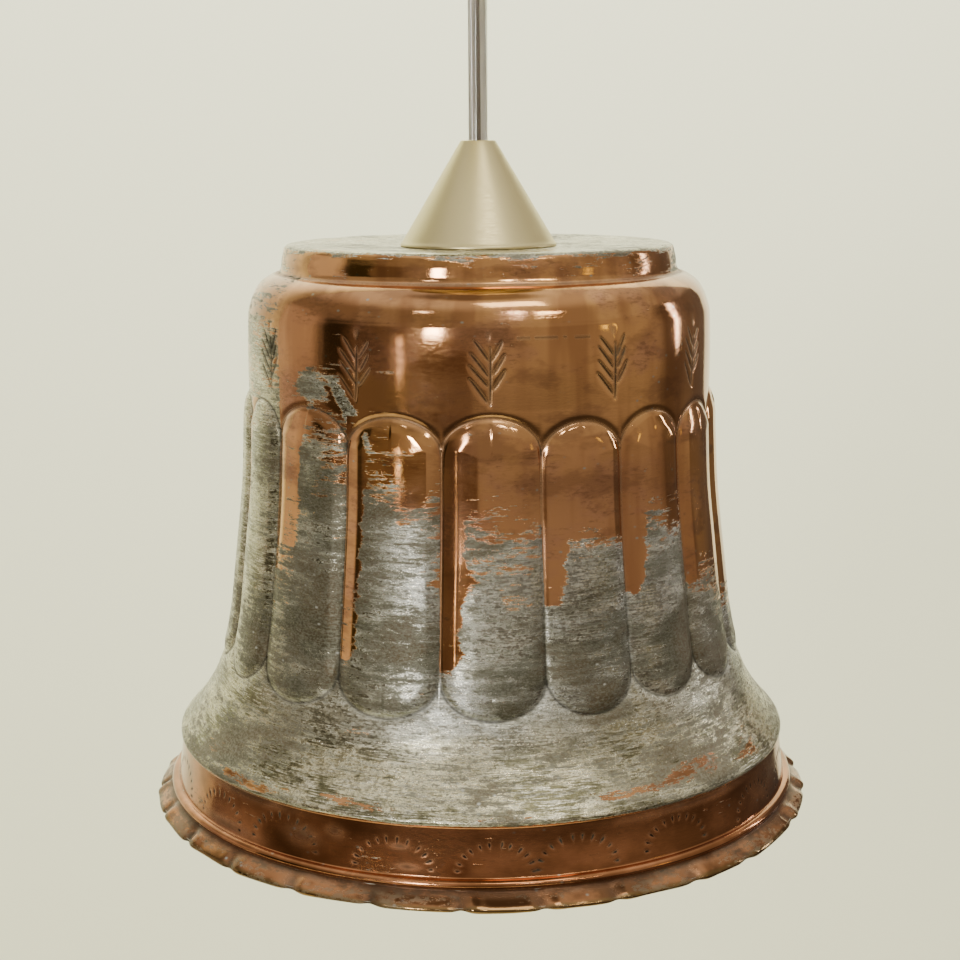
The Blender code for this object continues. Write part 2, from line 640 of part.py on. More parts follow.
def make_lampholder():
    over = SHADE_TOP_Z
    cap = turned(shell(HOLDER_CAP_OUTLINE, HOLDER_WALL), ROUND, over)
    piece("holder_cap", cap, BLACK_PLASTIC, SHADE_TWIST)
    piece("holder_skirt", turned(HOLDER_SKIRT_OUTLINE, ROUND, over), BLACK_PLASTIC, SHADE_TWIST)
    shell_ring = sleeve(SHELL_RADIUS, SHELL_RADIUS - SHELL_WALL, INSERT_FOOT - GAP, SHELL_FOOT, over)
    piece("screw_shell", shell_ring, BRASS, SHADE_TWIST)

    core_feet = [at_angle(INSERT_CORE_OFFSET, angle, 0) for _, _, angle, _ in CORES]
    screw_feet = [at_angle(INSERT_SCREW_OFFSET, angle, 0) for _, _, angle, _ in CORES]
    top = Vector((0, 0, over + INSERT_TOP))
    blank = rod(top, (0, 0, over + INSERT_FOOT), INSERT_RADIUS)
    holes = [rod(foot + top + MM * Z_AXIS, foot + top - 5 * MM * Z_AXIS, CORE_HOLE, 12) for foot in core_feet]
    holes += [rod(foot + top + MM * Z_AXIS, foot + top - 4 * MM * Z_AXIS, SCREW_HOLE, 12) for foot in screw_feet]
    piece("holder_insert", combined(blank, holes), CERAMIC, SHADE_TWIST)
    screws = [pan_screw(foot + top + 1.7 * MM * Z_AXIS, -Z_AXIS, 3.7 * MM) for foot in screw_feet]
    pieces("holder_screw", screws, BRASS, SHADE_TWIST)
    piece("centre_contact", turned(CONTACT_OUTLINE, 16, over), BRASS, SHADE_TWIST)

    for name, _, angle, look in CORES:
        inner = at_angle(CORE_OFFSET, angle, 0)
        outer = at_angle(INSERT_CORE_OFFSET, angle, 0)
        start = Vector((0, 0, CORD_FOOT_Z - GAP))
        route = [
            inner + start,
            inner + Vector((0, 0, over + TUBE_FOOT + 3 * MM)),
            inner.lerp(outer, 0.06) + Vector((0, 0, over + TUBE_FOOT - 0.6 * MM)),
            inner.lerp(outer, 0.55) + Vector((0, 0, over + TUBE_FOOT - 3.6 * MM)),
            inner.lerp(outer, 0.97) + Vector((0, 0, over + INSERT_TOP + 0.8 * MM)),
            outer + Vector((0, 0, over + INSERT_TOP - 4.6 * MM)),
        ]
        piece(f"{name}_core_in_holder", wire(curve_through(route, 2.5 * MM), CORE_RADIUS), look, SHADE_TWIST)


# Bulb.


def make_bulb():
    over = SHADE_TOP_Z
    threads = []
    for turn in range(CAP_TURNS):
        crest_z = (CAP_TOP - 4 * MM - turn * CAP_THREAD_PITCH) / MM
        threads.append((CAP_RADIUS / MM, crest_z))
        threads.append(((CAP_RADIUS - CAP_THREAD_DEPTH) / MM, crest_z - CAP_THREAD_PITCH / MM / 2))
    top = CAP_TOP / MM
    foot = CAP_FOOT / MM
    cap = [(7.5, top), (8.5, top), (12.4, top - 2.2), *threads, (12.9, foot)]
    cap += [(11.4, foot), (11.4, top - 2.9), (7.5, top - 0.8)]
    piece("bulb_cap", turned(cap, ROUND, over), ALUMINIUM, BULB_SLIDE)
    piece("bulb_insulator", turned(CAP_END_OUTLINE, ROUND, over), BLACK_GLASS, BULB_SLIDE)
    piece("bulb_contact", turned(CAP_CONTACT_OUTLINE, ROUND, over), ALUMINIUM, BULB_SLIDE)
    piece("bulb_glass", turned(shell(GLASS_OUTLINE, GLASS_WALL), ROUND, over), GLASS, BULB_SLIDE)
    piece("bulb_stem", turned(STEM_OUTLINE, 16, over), GLASS, BULB_SLIDE)
    filaments = []
    for i in range(FILAMENTS):
        angle = 360 * (i + 0.5) / FILAMENTS
        ends = over_shade(at_angle(5 * MM, angle, -88 * MM), at_angle(12 * MM, angle, -124 * MM))
        filaments.append(rod(*ends, FILAMENT_RADIUS, 10))
    pieces("filament", filaments, PHOSPHOR, BULB_SLIDE)


make_ceiling_fitting()
make_hanging_link()
make_cord_clamp()
make_terminal_block()
make_cord()
make_canopy()
make_shade()
make_cone()
make_shade_fixing()
make_lampholder()
make_bulb()
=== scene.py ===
"""The looks of a pendant lamp whose shade is an old tinned-copper vessel, hung mouth down.

Lengths are in metres unless a name says mm. Angles round the lamp are in degrees from its front, which faces
-Y, towards +X. Heights on the shade are counted from its flat top.
"""

import math

import bpy
import numpy as np
from mathutils import Euler, Matrix, Vector
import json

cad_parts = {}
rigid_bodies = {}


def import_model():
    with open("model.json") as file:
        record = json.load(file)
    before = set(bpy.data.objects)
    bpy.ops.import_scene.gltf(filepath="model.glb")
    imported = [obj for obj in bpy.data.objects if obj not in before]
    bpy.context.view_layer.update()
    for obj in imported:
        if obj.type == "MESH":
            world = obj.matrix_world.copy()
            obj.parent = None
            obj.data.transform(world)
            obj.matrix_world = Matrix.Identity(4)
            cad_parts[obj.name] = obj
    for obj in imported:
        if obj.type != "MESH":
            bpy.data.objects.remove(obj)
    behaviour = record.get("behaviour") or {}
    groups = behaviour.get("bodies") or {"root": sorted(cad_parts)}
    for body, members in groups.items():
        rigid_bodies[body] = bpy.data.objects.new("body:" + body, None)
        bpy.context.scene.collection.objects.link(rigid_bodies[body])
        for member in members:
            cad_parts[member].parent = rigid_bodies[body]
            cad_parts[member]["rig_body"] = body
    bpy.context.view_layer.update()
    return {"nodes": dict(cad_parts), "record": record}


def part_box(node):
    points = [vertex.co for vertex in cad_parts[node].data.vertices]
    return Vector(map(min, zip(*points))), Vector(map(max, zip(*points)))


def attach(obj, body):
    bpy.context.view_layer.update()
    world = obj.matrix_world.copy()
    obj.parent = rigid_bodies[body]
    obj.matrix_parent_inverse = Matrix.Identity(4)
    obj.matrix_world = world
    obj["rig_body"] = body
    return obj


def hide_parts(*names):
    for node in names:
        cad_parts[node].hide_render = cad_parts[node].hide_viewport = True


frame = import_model()

MM = 0.001
NODES = frame["nodes"]
SCENE = bpy.context.scene
SHADE_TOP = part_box("shade")[1].z
RIM_RADIUS_MM = 119.85
FOOT_MM = (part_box("shade")[0].z - SHADE_TOP) / MM
SHADE_HOLE_MM = 5.5
FULL_TURN = 2 * math.pi
SEED = 7


# Camera.

CAMERA_DISTANCE = 0.604  # from the lamp's axis
CAMERA_OVER_SHADE = 0.033
CAMERA_PITCH = math.radians(-11.04)
CAMERA_ROLL = math.radians(-0.28)
CAMERA_LENS_MM = 63.26
CAMERA_SENSOR_MM = 36
CAMERA_X = 0.0001


def make_camera():
    data = bpy.data.cameras.new("camera")
    data.lens = CAMERA_LENS_MM
    data.sensor_width = CAMERA_SENSOR_MM
    data.clip_start = 0.01
    camera = bpy.data.objects.new("camera", data)
    SCENE.collection.objects.link(camera)
    camera.location = (CAMERA_X, -CAMERA_DISTANCE, SHADE_TOP + CAMERA_OVER_SHADE)
    aim = Euler((math.pi / 2 + CAMERA_PITCH, 0, 0)).to_matrix().to_4x4()
    roll = Matrix.Rotation(CAMERA_ROLL, 4, "Z")
    camera.matrix_world = Matrix.Translation(camera.location) @ aim @ roll
    SCENE.camera = camera


make_camera()


# Node materials.


class Nodes:
    """A node tree, with short calls for the nodes it is made of."""

    def __init__(self, tree):
        self.tree = tree

    def node(self, kind, **settings):
        """A node of that kind, with its settings."""
        made = self.tree.nodes.new(kind)
        for name, value in settings.items():
            setattr(made, name, value)
        return made

    def feed(self, socket, value):
        """Links an output to a socket, or sets the socket to a number or a colour."""
        if isinstance(value, bpy.types.NodeSocket):
            self.tree.links.new(value, socket)
        elif isinstance(value, tuple) and socket.type == "RGBA" and len(value) == 3:
            socket.default_value = (*value, 1)
        else:
            socket.default_value = value

    def place(self, scale=(1, 1, 1)):
        """Object coordinates, scaled along each axis."""
        coordinates = self.node("ShaderNodeTexCoord").outputs["Object"]
        mapping = self.node("ShaderNodeMapping")
        self.feed(mapping.inputs["Vector"], coordinates)
        mapping.inputs["Scale"].default_value = scale
        return mapping.outputs["Vector"]

    def noise(self, scale, detail, roughness=0.5, stretch=(1, 1, 1)):
        """Cloudy noise from 0 to 1, finer as the scale grows."""
        made = self.node("ShaderNodeTexNoise")
        self.feed(made.inputs["Vector"], self.place(stretch))
        made.inputs["Scale"].default_value = scale
        made.inputs["Detail"].default_value = detail
        made.inputs["Roughness"].default_value = roughness
        return made.outputs["Fac"]

    def spots(self, scale, stretch):
        """The distance to the nearest of many scattered points."""
        made = self.node("ShaderNodeTexVoronoi")
        self.feed(made.inputs["Vector"], self.place(stretch))
        made.inputs["Scale"].default_value = scale
        return made.outputs["Distance"]

    def waves(self, scale, axis, distortion):
        """Bands across an axis."""
        made = self.node("ShaderNodeTexWave", bands_direction=axis)
        self.feed(made.inputs["Vector"], self.place())
        made.inputs["Scale"].default_value = scale
        made.inputs["Distortion"].default_value = distortion
        return made.outputs["Fac"]

    def field(self, name):
        """A number that the mesh holds for each of its points."""
        made = self.node("ShaderNodeAttribute", attribute_name=name, attribute_type="GEOMETRY")
        return made.outputs["Fac"]

    def sum(self, a, b):
        return self.math("ADD", a, b)

    def times(self, a, b):
        return self.math("MULTIPLY", a, b)

    def blend_sum(self, *shares):
        """The sum of noises, each brought round 0 and given its share."""
        total = 0.0
        for noise, share in shares:
            total = self.sum(total, self.times(self.sum(noise, -0.5), share))
        return total

    def math(self, operation, a, b):
        made = self.node("ShaderNodeMath", operation=operation)
        self.feed(made.inputs[0], a)
        self.feed(made.inputs[1], b)
        return made.outputs[0]

    def ramp(self, value, low, high, start=0.0, end=1.0):
        """Carries low..high smoothly to start..end, and holds it there on both sides."""
        made = self.node("ShaderNodeMapRange", interpolation_type="SMOOTHSTEP")
        for name, number in (("From Min", low), ("From Max", high), ("To Min", start), ("To Max", end)):
            made.inputs[name].default_value = number
        self.feed(made.inputs["Value"], value)
        return made.outputs["Result"]

    def mix(self, share, a, b):
        """A colour between a and b. The node keeps its colours in inputs 6 and 7 and in output 2."""
        made = self.node("ShaderNodeMix", data_type="RGBA")
        self.feed(made.inputs[0], share)
        self.feed(made.inputs[6], a)
        self.feed(made.inputs[7], b)
        return made.outputs[2]

    def bump(self, height, distance, under=None):
        """A bumped normal, over another one if it is given."""
        made = self.node("ShaderNodeBump")
        made.inputs["Distance"].default_value = distance
        self.feed(made.inputs["Height"], height)
        if under:
            self.feed(made.inputs["Normal"], under)
        return made.outputs["Normal"]


class Shader(Nodes):
    """A new material and its nodes."""

    def __init__(self, name):
        self.material = bpy.data.materials.new(name)
        self.material.use_nodes = True
        super().__init__(self.material.node_tree)
        self.surface = self.tree.nodes["Principled BSDF"]

    def principled(self, **values):
        """Sets or links the shader's inputs, whose names are given with _ for a space."""
        for name, value in values.items():
            self.feed(self.surface.inputs[name.replace("_", " ")], value)


TIN_DEPTH = 0.00007
LINE_DEPTH = 0.00013
BRUSHED_DEPTH = 0.00002
MOULDED_DEPTH = 0.00003
INSULATION_DEPTH = 0.00001


def shade_material():
    """Polished copper where the tin is worn off, and streaked, pitted tin elsewhere.

    The mesh holds the fields: tin, how far the tin reaches (0.5 is its edge), the lines' darkening, which is
    patina in the chased and punched lines together with painted shade along the lobes' outlines, on the
    shaded side of each sprig leaf, in the collar's crease and the rim's crevice, and in dark patches under
    the ridge and on the band's sides, band, which is 1 on the punched band and the rim, flare, where the tin
    is creamy, disc, which is 1 on the flat top, the eaten share, how much of the tin is eaten, raised
    further as painted shade on the lobes' lower right parts, rim, which is 1 on the crimped edge, and roll,
    which is 1 on its rolled lip. The numbers in the ramps are the noise levels where one look turns into the
    next.
    """
    s = Shader("worn_tinned_copper")
    streaks = s.noise(60, 5, 0.62, (1, 1, 8))
    clouds = s.noise(42, 4, 0.62, (1, 1, 2.2))
    fine = s.noise(330, 6, 0.70, (1, 1, 3.0))
    grain = s.noise(1000, 3, 0.65, (1, 1, 1.5))
    scratches = s.noise(150, 4, 0.70, (1, 1, 20))
    blotches = s.noise(30, 4, 0.6, (1, 1, 1.5))
    wide = s.noise(11, 3, 0.5)
    upright = s.noise(70, 3, 0.5, (1, 1, 0.12))

    # Where the tin lies: its field, broken up by streaks and blotches.
    ragged = s.blend_sum((streaks, 2.0), (fine, 1.5), (blotches, 1.3), (scratches, 0.9))
    tin = s.ramp(s.sum(s.field("tin"), ragged), 0.40, 0.60)

    # Copper: brown, pinkish in places, redder on the band and the rim, and bronze on the rolled lip.
    copper = s.mix(s.ramp(wide, 0.38, 0.62), (0.55, 0.295, 0.15), (0.74, 0.41, 0.17))
    copper = s.mix(s.ramp(blotches, 0.48, 0.66, 0, 0.7), copper, (0.52, 0.27, 0.18))
    copper = s.mix(s.ramp(upright, 0.45, 0.62, 0, 0.7), copper, (0.36, 0.17, 0.08))
    copper = s.mix(s.ramp(clouds, 0.50, 0.64, 0, 0.5), copper, (0.27, 0.135, 0.075))
    band = s.mix(s.ramp(blotches, 0.38, 0.62), (0.27, 0.118, 0.052), (0.50, 0.225, 0.11))
    copper = s.mix(s.field("band"), copper, band)
    rim = s.mix(s.ramp(clouds, 0.42, 0.58), (0.15, 0.075, 0.036), (0.36, 0.17, 0.08))
    copper = s.mix(s.times(s.field("rim"), 0.9), copper, rim)
    copper = s.mix(s.times(s.field("roll"), 0.8), copper, (0.20, 0.13, 0.055))
    stains = s.times(s.ramp(s.blend_sum((fine, 1.0), (blotches, 1.2)), 0.08, 0.24), 0.45)
    copper = s.mix(stains, copper, (0.22, 0.115, 0.055))

    # Tin: grey, creamier on the flare, mottled, with light scratches that are partly painted glints, and
    # with dark pits in rows along them, thicker as painted shade on the lobes' lower right parts.
    silver = s.mix(s.ramp(wide, 0.4, 0.62), (0.50, 0.52, 0.505), (0.64, 0.63, 0.52))
    creamy = s.ramp(s.sum(clouds, s.times(s.sum(scratches, -0.5), 0.5)), 0.43, 0.54)
    cream = s.mix(creamy, (0.21, 0.20, 0.12), (0.90, 0.85, 0.61))
    silver = s.mix(s.ramp(clouds, 0.46, 0.58, 0, 0.6), silver, (0.24, 0.23, 0.17))
    silver = s.mix(s.field("flare"), silver, cream)
    silver = s.mix(s.field("disc"), silver, (0.60, 0.56, 0.43))
    # Light scratches: bright worn tin, partly painted glints.
    silver = s.mix(s.ramp(scratches, 0.50, 0.60, 0, 0.75), silver, (0.95, 0.93, 0.82))
    silver = s.mix(s.ramp(scratches, 0.36, 0.46, 0.6, 0), silver, (0.12, 0.115, 0.075))
    mottled = s.blend_sum((grain, 1.0), (fine, 0.8))
    silver = s.mix(s.ramp(mottled, -0.07, 0.07, 0.55, 0.0), silver, (0.085, 0.080, 0.048))
    eaten = s.blend_sum(
        (fine, 1.0), (grain, 0.9), (blotches, 0.9), (clouds, 0.9), (streaks, 0.9), (scratches, 0.7)
    )
    # The eaten share is raised on the lobes' lower right parts, where it paints shade.
    eaten = s.sum(eaten, s.times(s.sum(s.field("pits_and_shade"), -0.5), 0.42))
    eaten = s.sum(eaten, s.times(s.sum(wide, -0.5), s.times(s.field("flare"), 1.1)))
    pits = s.ramp(eaten, -0.06, 0.12)
    dark = s.mix(s.ramp(blotches, 0.42, 0.6), (0.034, 0.031, 0.016), (0.062, 0.042, 0.020))
    dark = s.mix(s.ramp(grain, 0.42, 0.62, 0.0, 0.8), dark, (0.10, 0.10, 0.072))
    silver = s.mix(s.times(pits, 0.92), silver, dark)

    # Flecks of tin left on the copper, a film on the rim, and patina in every line, whose dark colour also
    # paints shade along the lobes' outlines, on the shaded sides of the sprig leaves and in the creases.
    colour = s.mix(tin, copper, silver)
    flecks = s.ramp(s.spots(190, (1, 1, 1.6)), 0.04, 0.17, 1.0, 0.0)
    flecks = s.times(flecks, s.ramp(s.noise(38, 3), 0.5, 0.6))
    colour = s.mix(s.times(flecks, 0.8), colour, (0.42, 0.43, 0.40))
    greenish = s.mix(s.ramp(fine, 0.4, 0.6), (0.018, 0.013, 0.007), (0.055, 0.060, 0.043))
    film = s.ramp(s.blend_sum((fine, 1.3), (blotches, 1.5), (streaks, 0.6)), -0.02, 0.14)
    film = s.times(s.times(film, s.field("rim")), 0.6)
    colour = s.mix(film, colour, greenish)
    dirt_and_shade = s.times(s.field("dirt_and_shade"), s.ramp(grain, 0.25, 0.5, 0.75, 1.0))
    patina = s.mix(s.ramp(clouds, 0.52, 0.6), (0.009, 0.006, 0.004), (0.028, 0.029, 0.022))
    colour = s.mix(dirt_and_shade, colour, patina)
    dirt_and_shade = s.math("MAXIMUM", dirt_and_shade, film)

    # Gloss: pits, grime and the painted shade in the lines are rough and dull.
    copper_roughness = s.ramp(s.blend_sum((blotches, 1.0), (fine, 0.4)), -0.12, 0.16, 0.05, 0.16)
    tin_roughness = s.sum(s.ramp(fine, 0.35, 0.65, 0.20, 0.36), s.times(pits, 0.14))
    roughness = s.node("ShaderNodeMix", data_type="FLOAT")
    s.feed(roughness.inputs[0], tin)
    s.feed(roughness.inputs[2], copper_roughness)
    s.feed(roughness.inputs[3], tin_roughness)
    roughness = s.sum(roughness.outputs[0], s.times(dirt_and_shade, 0.35))

    dull = s.math("MAXIMUM", s.times(dirt_and_shade, 0.6), s.times(s.times(pits, tin), 0.4))
    metal = s.math("SUBTRACT", 1.0, dull)
    shine = s.math("SUBTRACT", 0.5, s.times(dirt_and_shade, 0.42))

    # Relief too fine for the mesh: the tin's thickness, its pits, and the lines of the scouring.
    layer = s.times(tin, s.math("SUBTRACT", 1.0, s.times(pits, 0.8)))
    lines = s.blend_sum((fine, 0.45), (grain, 0.30), (scratches, 0.30))
    lines = s.times(lines, s.sum(0.18, s.times(tin, 1.3)))
    normal = s.bump(s.sum(lines, s.times(upright, 0.9)), LINE_DEPTH, s.bump(layer, TIN_DEPTH))
    s.principled(
        Base_Color=colour, Metallic=metal, Roughness=roughness, Specular_IOR_Level=shine, Normal=normal
    )
    return s.material


def inside_material():
    """The shade's inner side: dull old tin with a few brown stains."""
    s = Shader("dull_tin_inside")
    blotches = s.noise(40, 5, 0.6)
    streaks = s.noise(160, 4, 0.6, (1, 1, 6))
    colour = s.mix(s.ramp(blotches, 0.4, 0.7), (0.50, 0.48, 0.42), (0.30, 0.24, 0.17))
    colour = s.mix(s.ramp(streaks, 0.5, 0.7, 0, 0.6), colour, (0.18, 0.15, 0.11))
    s.principled(
        Base_Color=colour, Metallic=0.85, Roughness=s.ramp(blotches, 0.3, 0.7, 0.42, 0.6),
        Normal=s.bump(streaks, 0.0002),
    )
    return s.material


def brushed_metal(name, colour, roughness, lines, stretch):
    """Metal with fine lines along its turning, and a slight change of tone."""
    s = Shader(name)
    grain = s.noise(lines, 3, 0.6, stretch)
    tone = s.noise(30, 2, 0.5)
    darker = tuple(0.86 * part for part in colour)
    tinted = s.mix(s.times(s.sum(grain, tone), 0.5), darker, colour)
    gloss = s.ramp(grain, 0.3, 0.7, roughness * 0.88, roughness * 1.15)
    s.principled(Base_Color=tinted, Metallic=1.0, Roughness=gloss, Normal=s.bump(grain, BRUSHED_DEPTH))
    return s.material


def moulded(name, colour, roughness):
    """Moulded plastic, glass or glazed ceramic with a faint orange-peel surface."""
    s = Shader(name)
    peel = s.noise(700, 3, 0.5)
    cloud = s.noise(50, 2, 0.5)
    darker = tuple(0.85 * part for part in colour)
    tinted = s.mix(cloud, darker, colour)
    gloss = s.ramp(peel, 0.3, 0.7, roughness * 0.9, roughness * 1.1)
    s.principled(Base_Color=tinted, Roughness=gloss, Normal=s.bump(peel, MOULDED_DEPTH))
    return s.material


def insulation(name, colour, stripe=None):
    """A core's insulation, plain or with a second colour along it."""
    s = Shader(name)
    peel = s.noise(900, 2, 0.5)
    tone = s.mix(s.noise(120, 2, 0.5), tuple(0.8 * part for part in colour), colour)
    if stripe:
        tone = s.mix(s.ramp(s.waves(90, "Z", 1.5), 0.45, 0.55), tone, stripe)
    s.principled(Base_Color=tone, Roughness=0.35, Normal=s.bump(peel, INSULATION_DEPTH))
    return s.material


def clear_glass(name, colour, roughness, ior):
    """Clear glass or plastic with a faint tint and ripple."""
    s = Shader(name)
    ripple = s.noise(60, 2, 0.5)
    s.principled(
        Base_Color=s.mix(ripple, colour, (1, 1, 1)), Roughness=roughness, Transmission_Weight=1.0, IOR=ior,
        Normal=s.bump(ripple, 0.0001),
    )
    return s.material


def phosphor_material():
    """The yellow coating of the bulb's filaments, unlit."""
    s = Shader("phosphor_coating")
    grain = s.noise(900, 3, 0.6)
    yellow = s.mix(grain, (0.75, 0.50, 0.08), (0.95, 0.78, 0.25))
    s.principled(Base_Color=yellow, Roughness=0.6, Normal=s.bump(grain, 0.0001))
    return s.material


LOOKS = {
    "tinned_copper": shade_material(),
    "satin_nickel": brushed_metal("satin_nickel", (0.784, 0.689, 0.392), 0.38, 420, (1, 1, 5)),
    "zinc_steel": brushed_metal("zinc_plate", (0.62, 0.63, 0.65), 0.33, 260, (1, 1, 1)),
    "brass": brushed_metal("brass", (0.72, 0.52, 0.22), 0.28, 380, (1, 1, 8)),
    "clear_pvc": clear_glass("clear_pvc", (0.97, 0.965, 0.94), 0.06, 1.45),
    "black_plastic": moulded("black_bakelite", (0.022, 0.020, 0.018), 0.34),
    "white_plastic": moulded("white_plastic", (0.80, 0.79, 0.75), 0.42),
    "ceramic": moulded("glazed_ceramic", (0.86, 0.84, 0.78), 0.16),
    "brown_insulation": insulation("brown_insulation", (0.20, 0.085, 0.035)),
    "blue_insulation": insulation("blue_insulation", (0.04, 0.16, 0.50)),
    "green_yellow_insulation": insulation("earth_insulation", (0.62, 0.60, 0.04), (0.04, 0.30, 0.06)),
    "clear_glass": clear_glass("bulb_glass", (0.98, 0.99, 0.985), 0.0, 1.5),
    "black_glass": moulded("black_glass", (0.02, 0.02, 0.025), 0.08),
    "aluminium": brushed_metal("aluminium", (0.78, 0.78, 0.78), 0.30, 300, (1, 1, 4)),
    "phosphor": phosphor_material(),
}
SLOT_OF = {part["node"]: part["material_slot"] for part in frame["record"]["subparts"]}


def dress_frame():
    """Gives every CAD node the material of its slot."""
    for name, obj in NODES.items():
        obj.data.materials.clear()
        obj.data.materials.append(LOOKS[SLOT_OF[name]])


dress_frame()


# Pieces.


def add_piece(name, mesh, node):
    """A visible piece that rides where a CAD node does and stands for it."""
    obj = bpy.data.objects.new(name, mesh)
    SCENE.collection.objects.link(obj)
    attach(obj, NODES[node]["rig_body"])
    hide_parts(node)
    return obj


# Cord: a clear sheath with three cores twisted inside it.

CORD_RADIUS = (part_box("cord")[1].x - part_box("cord")[0].x) / 2
CORE_RADIUS = 0.00098
CORE_OFFSET = 0.00188  # from the cord's middle to a core's middle
CORE_INSET = 0.0004  # a core's ends stand inside the sheath's
TWIST_PITCH = 1.3  # one turn of the cores
TWIST_START = math.radians(-163)  # where the first core lies at the cord's top, from +X towards +Y


def tube_curve(name, points, radius, bevel_resolution):
    """A round tube with closed ends, along points."""
    data = bpy.data.curves.new(name, "CURVE")
    data.dimensions = "3D"
    data.bevel_depth = radius
    data.bevel_resolution = bevel_resolution
    data.use_fill_caps = True
    spline = data.splines.new("POLY")
    spline.points.add(len(points) - 1)
    for spot, point in zip(spline.points, points):
        spot.co = (*point, 1)
    return data


def make_cord():
    low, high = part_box("cord")
    steps = 40
    line = [(0, 0, high.z + (low.z - high.z) * i / steps) for i in range(steps + 1)]
    sheath = tube_curve("cord_sheath", line, CORD_RADIUS, 8)
    sheath.materials.append(LOOKS["clear_pvc"])
    sheath = add_piece("cord_sheath", sheath, "cord")
    silver = brushed_metal("silver_core", (0.93, 0.93, 0.95), 0.18, 500, (1, 1, 0.3))
    brown = insulation("brown_core", (0.34, 0.29, 0.26))
    pale = insulation("pale_core", (0.92, 0.89, 0.80))
    for number, look in enumerate((silver, pale, brown)):
        route = []
        for x, y, z in line:
            turn = TWIST_START + FULL_TURN * (number / 3 + (high.z - z) / TWIST_PITCH)
            inset = min(max(z, low.z + CORE_INSET), high.z - CORE_INSET)
            route.append((CORE_OFFSET * math.cos(turn), CORE_OFFSET * math.sin(turn), inset))
        core = tube_curve(look.name, route, CORE_RADIUS, 5)
        core.materials.append(look)
        core = bpy.data.objects.new(look.name, core)
        SCENE.collection.objects.link(core)
        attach(core, NODES["cord"]["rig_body"])


make_cord()


# Mesh helpers.


def ring_mesh(name, rings, inside=None):
    """A closed mesh over rings of points, each joined to the next and the last to the first.

    Of two neighbours' counts, one divides the other. Faces from the ring numbered inside on get the second
    material.
    """
    starts = np.cumsum([0] + [len(ring) for ring in rings])
    corners = []
    sizes = []
    slots = []
    for number, upper in enumerate(rings):
        following = (number + 1) % len(rings)
        lower = rings[following]
        count = min(len(upper), len(lower))
        fine_upper = len(upper) // count
        fine_lower = len(lower) // count
        first = np.arange(count)[:, None]
        above = starts[number] + (first * fine_upper + np.arange(fine_upper, -1, -1)) % len(upper)
        below = starts[following] + (first * fine_lower + np.arange(fine_lower + 1)) % len(lower)
        # Down the left side, along below, and back along above.
        faces = np.concatenate([above[:, -1:], below, above[:, :-1]], axis=1)
        corners.append(faces.reshape(-1))
        sizes += [faces.shape[1]] * count
        slots += [int(inside is not None and number + 1 >= inside)] * count
    corners = np.concatenate(corners)
    mesh = bpy.data.meshes.new(name)
    mesh.vertices.add(starts[-1])
    mesh.vertices.foreach_set("co", np.concatenate(rings).reshape(-1).astype(np.float32))
    mesh.loops.add(len(corners))
    mesh.loops.foreach_set("vertex_index", corners.astype(np.int32))
    mesh.polygons.add(len(sizes))
    mesh.polygons.foreach_set("loop_start", np.cumsum([0] + sizes[:-1]).astype(np.int32))
    mesh.polygons.foreach_set("material_index", np.array(slots, dtype=np.int32))
    mesh.update(calc_edges=True)
    mesh.validate()
    mesh.shade_smooth()
    return mesh


def rounded(outline, corner_radius, steps=5):
    """The closed outline with its corners rounded, as (radius, height) points in mm."""
    smooth = []
    count = len(outline)
    for i in range(count):
        before = Vector(outline[i - 1])
        here = Vector(outline[i])
        after = Vector(outline[(i + 1) % count])
        reach = min(corner_radius, 0.45 * (before - here).length, 0.45 * (after - here).length)
        start = here + (before - here).normalized() * reach
        end = here + (after - here).normalized() * reach
        for step in range(steps + 1):
            t = step / steps
            smooth.append(tuple((1 - t) ** 2 * start + 2 * t * (1 - t) * here + t * t * end))
    return smooth


def turned_mesh(name, outline_mm, base_z, columns, corner_mm):
    """A fine turned mesh over a closed outline, whose corners are rounded a little."""
    outline = np.array(rounded(outline_mm, corner_mm))
    angles = np.linspace(0, FULL_TURN, columns, endpoint=False)
    radii = outline[:, 0, None] * MM
    heights = np.broadcast_to(outline[:, 1, None] * MM, (len(outline), columns))
    points = np.stack([radii * np.sin(angles), -radii * np.cos(angles), heights], axis=-1)
    points[..., 2] += base_z
    return ring_mesh(name, list(points))


# Shade. Its sheet is made of rings of points, from the hole in its top down to the rim and back up inside.

INNER_COLUMNS = 300
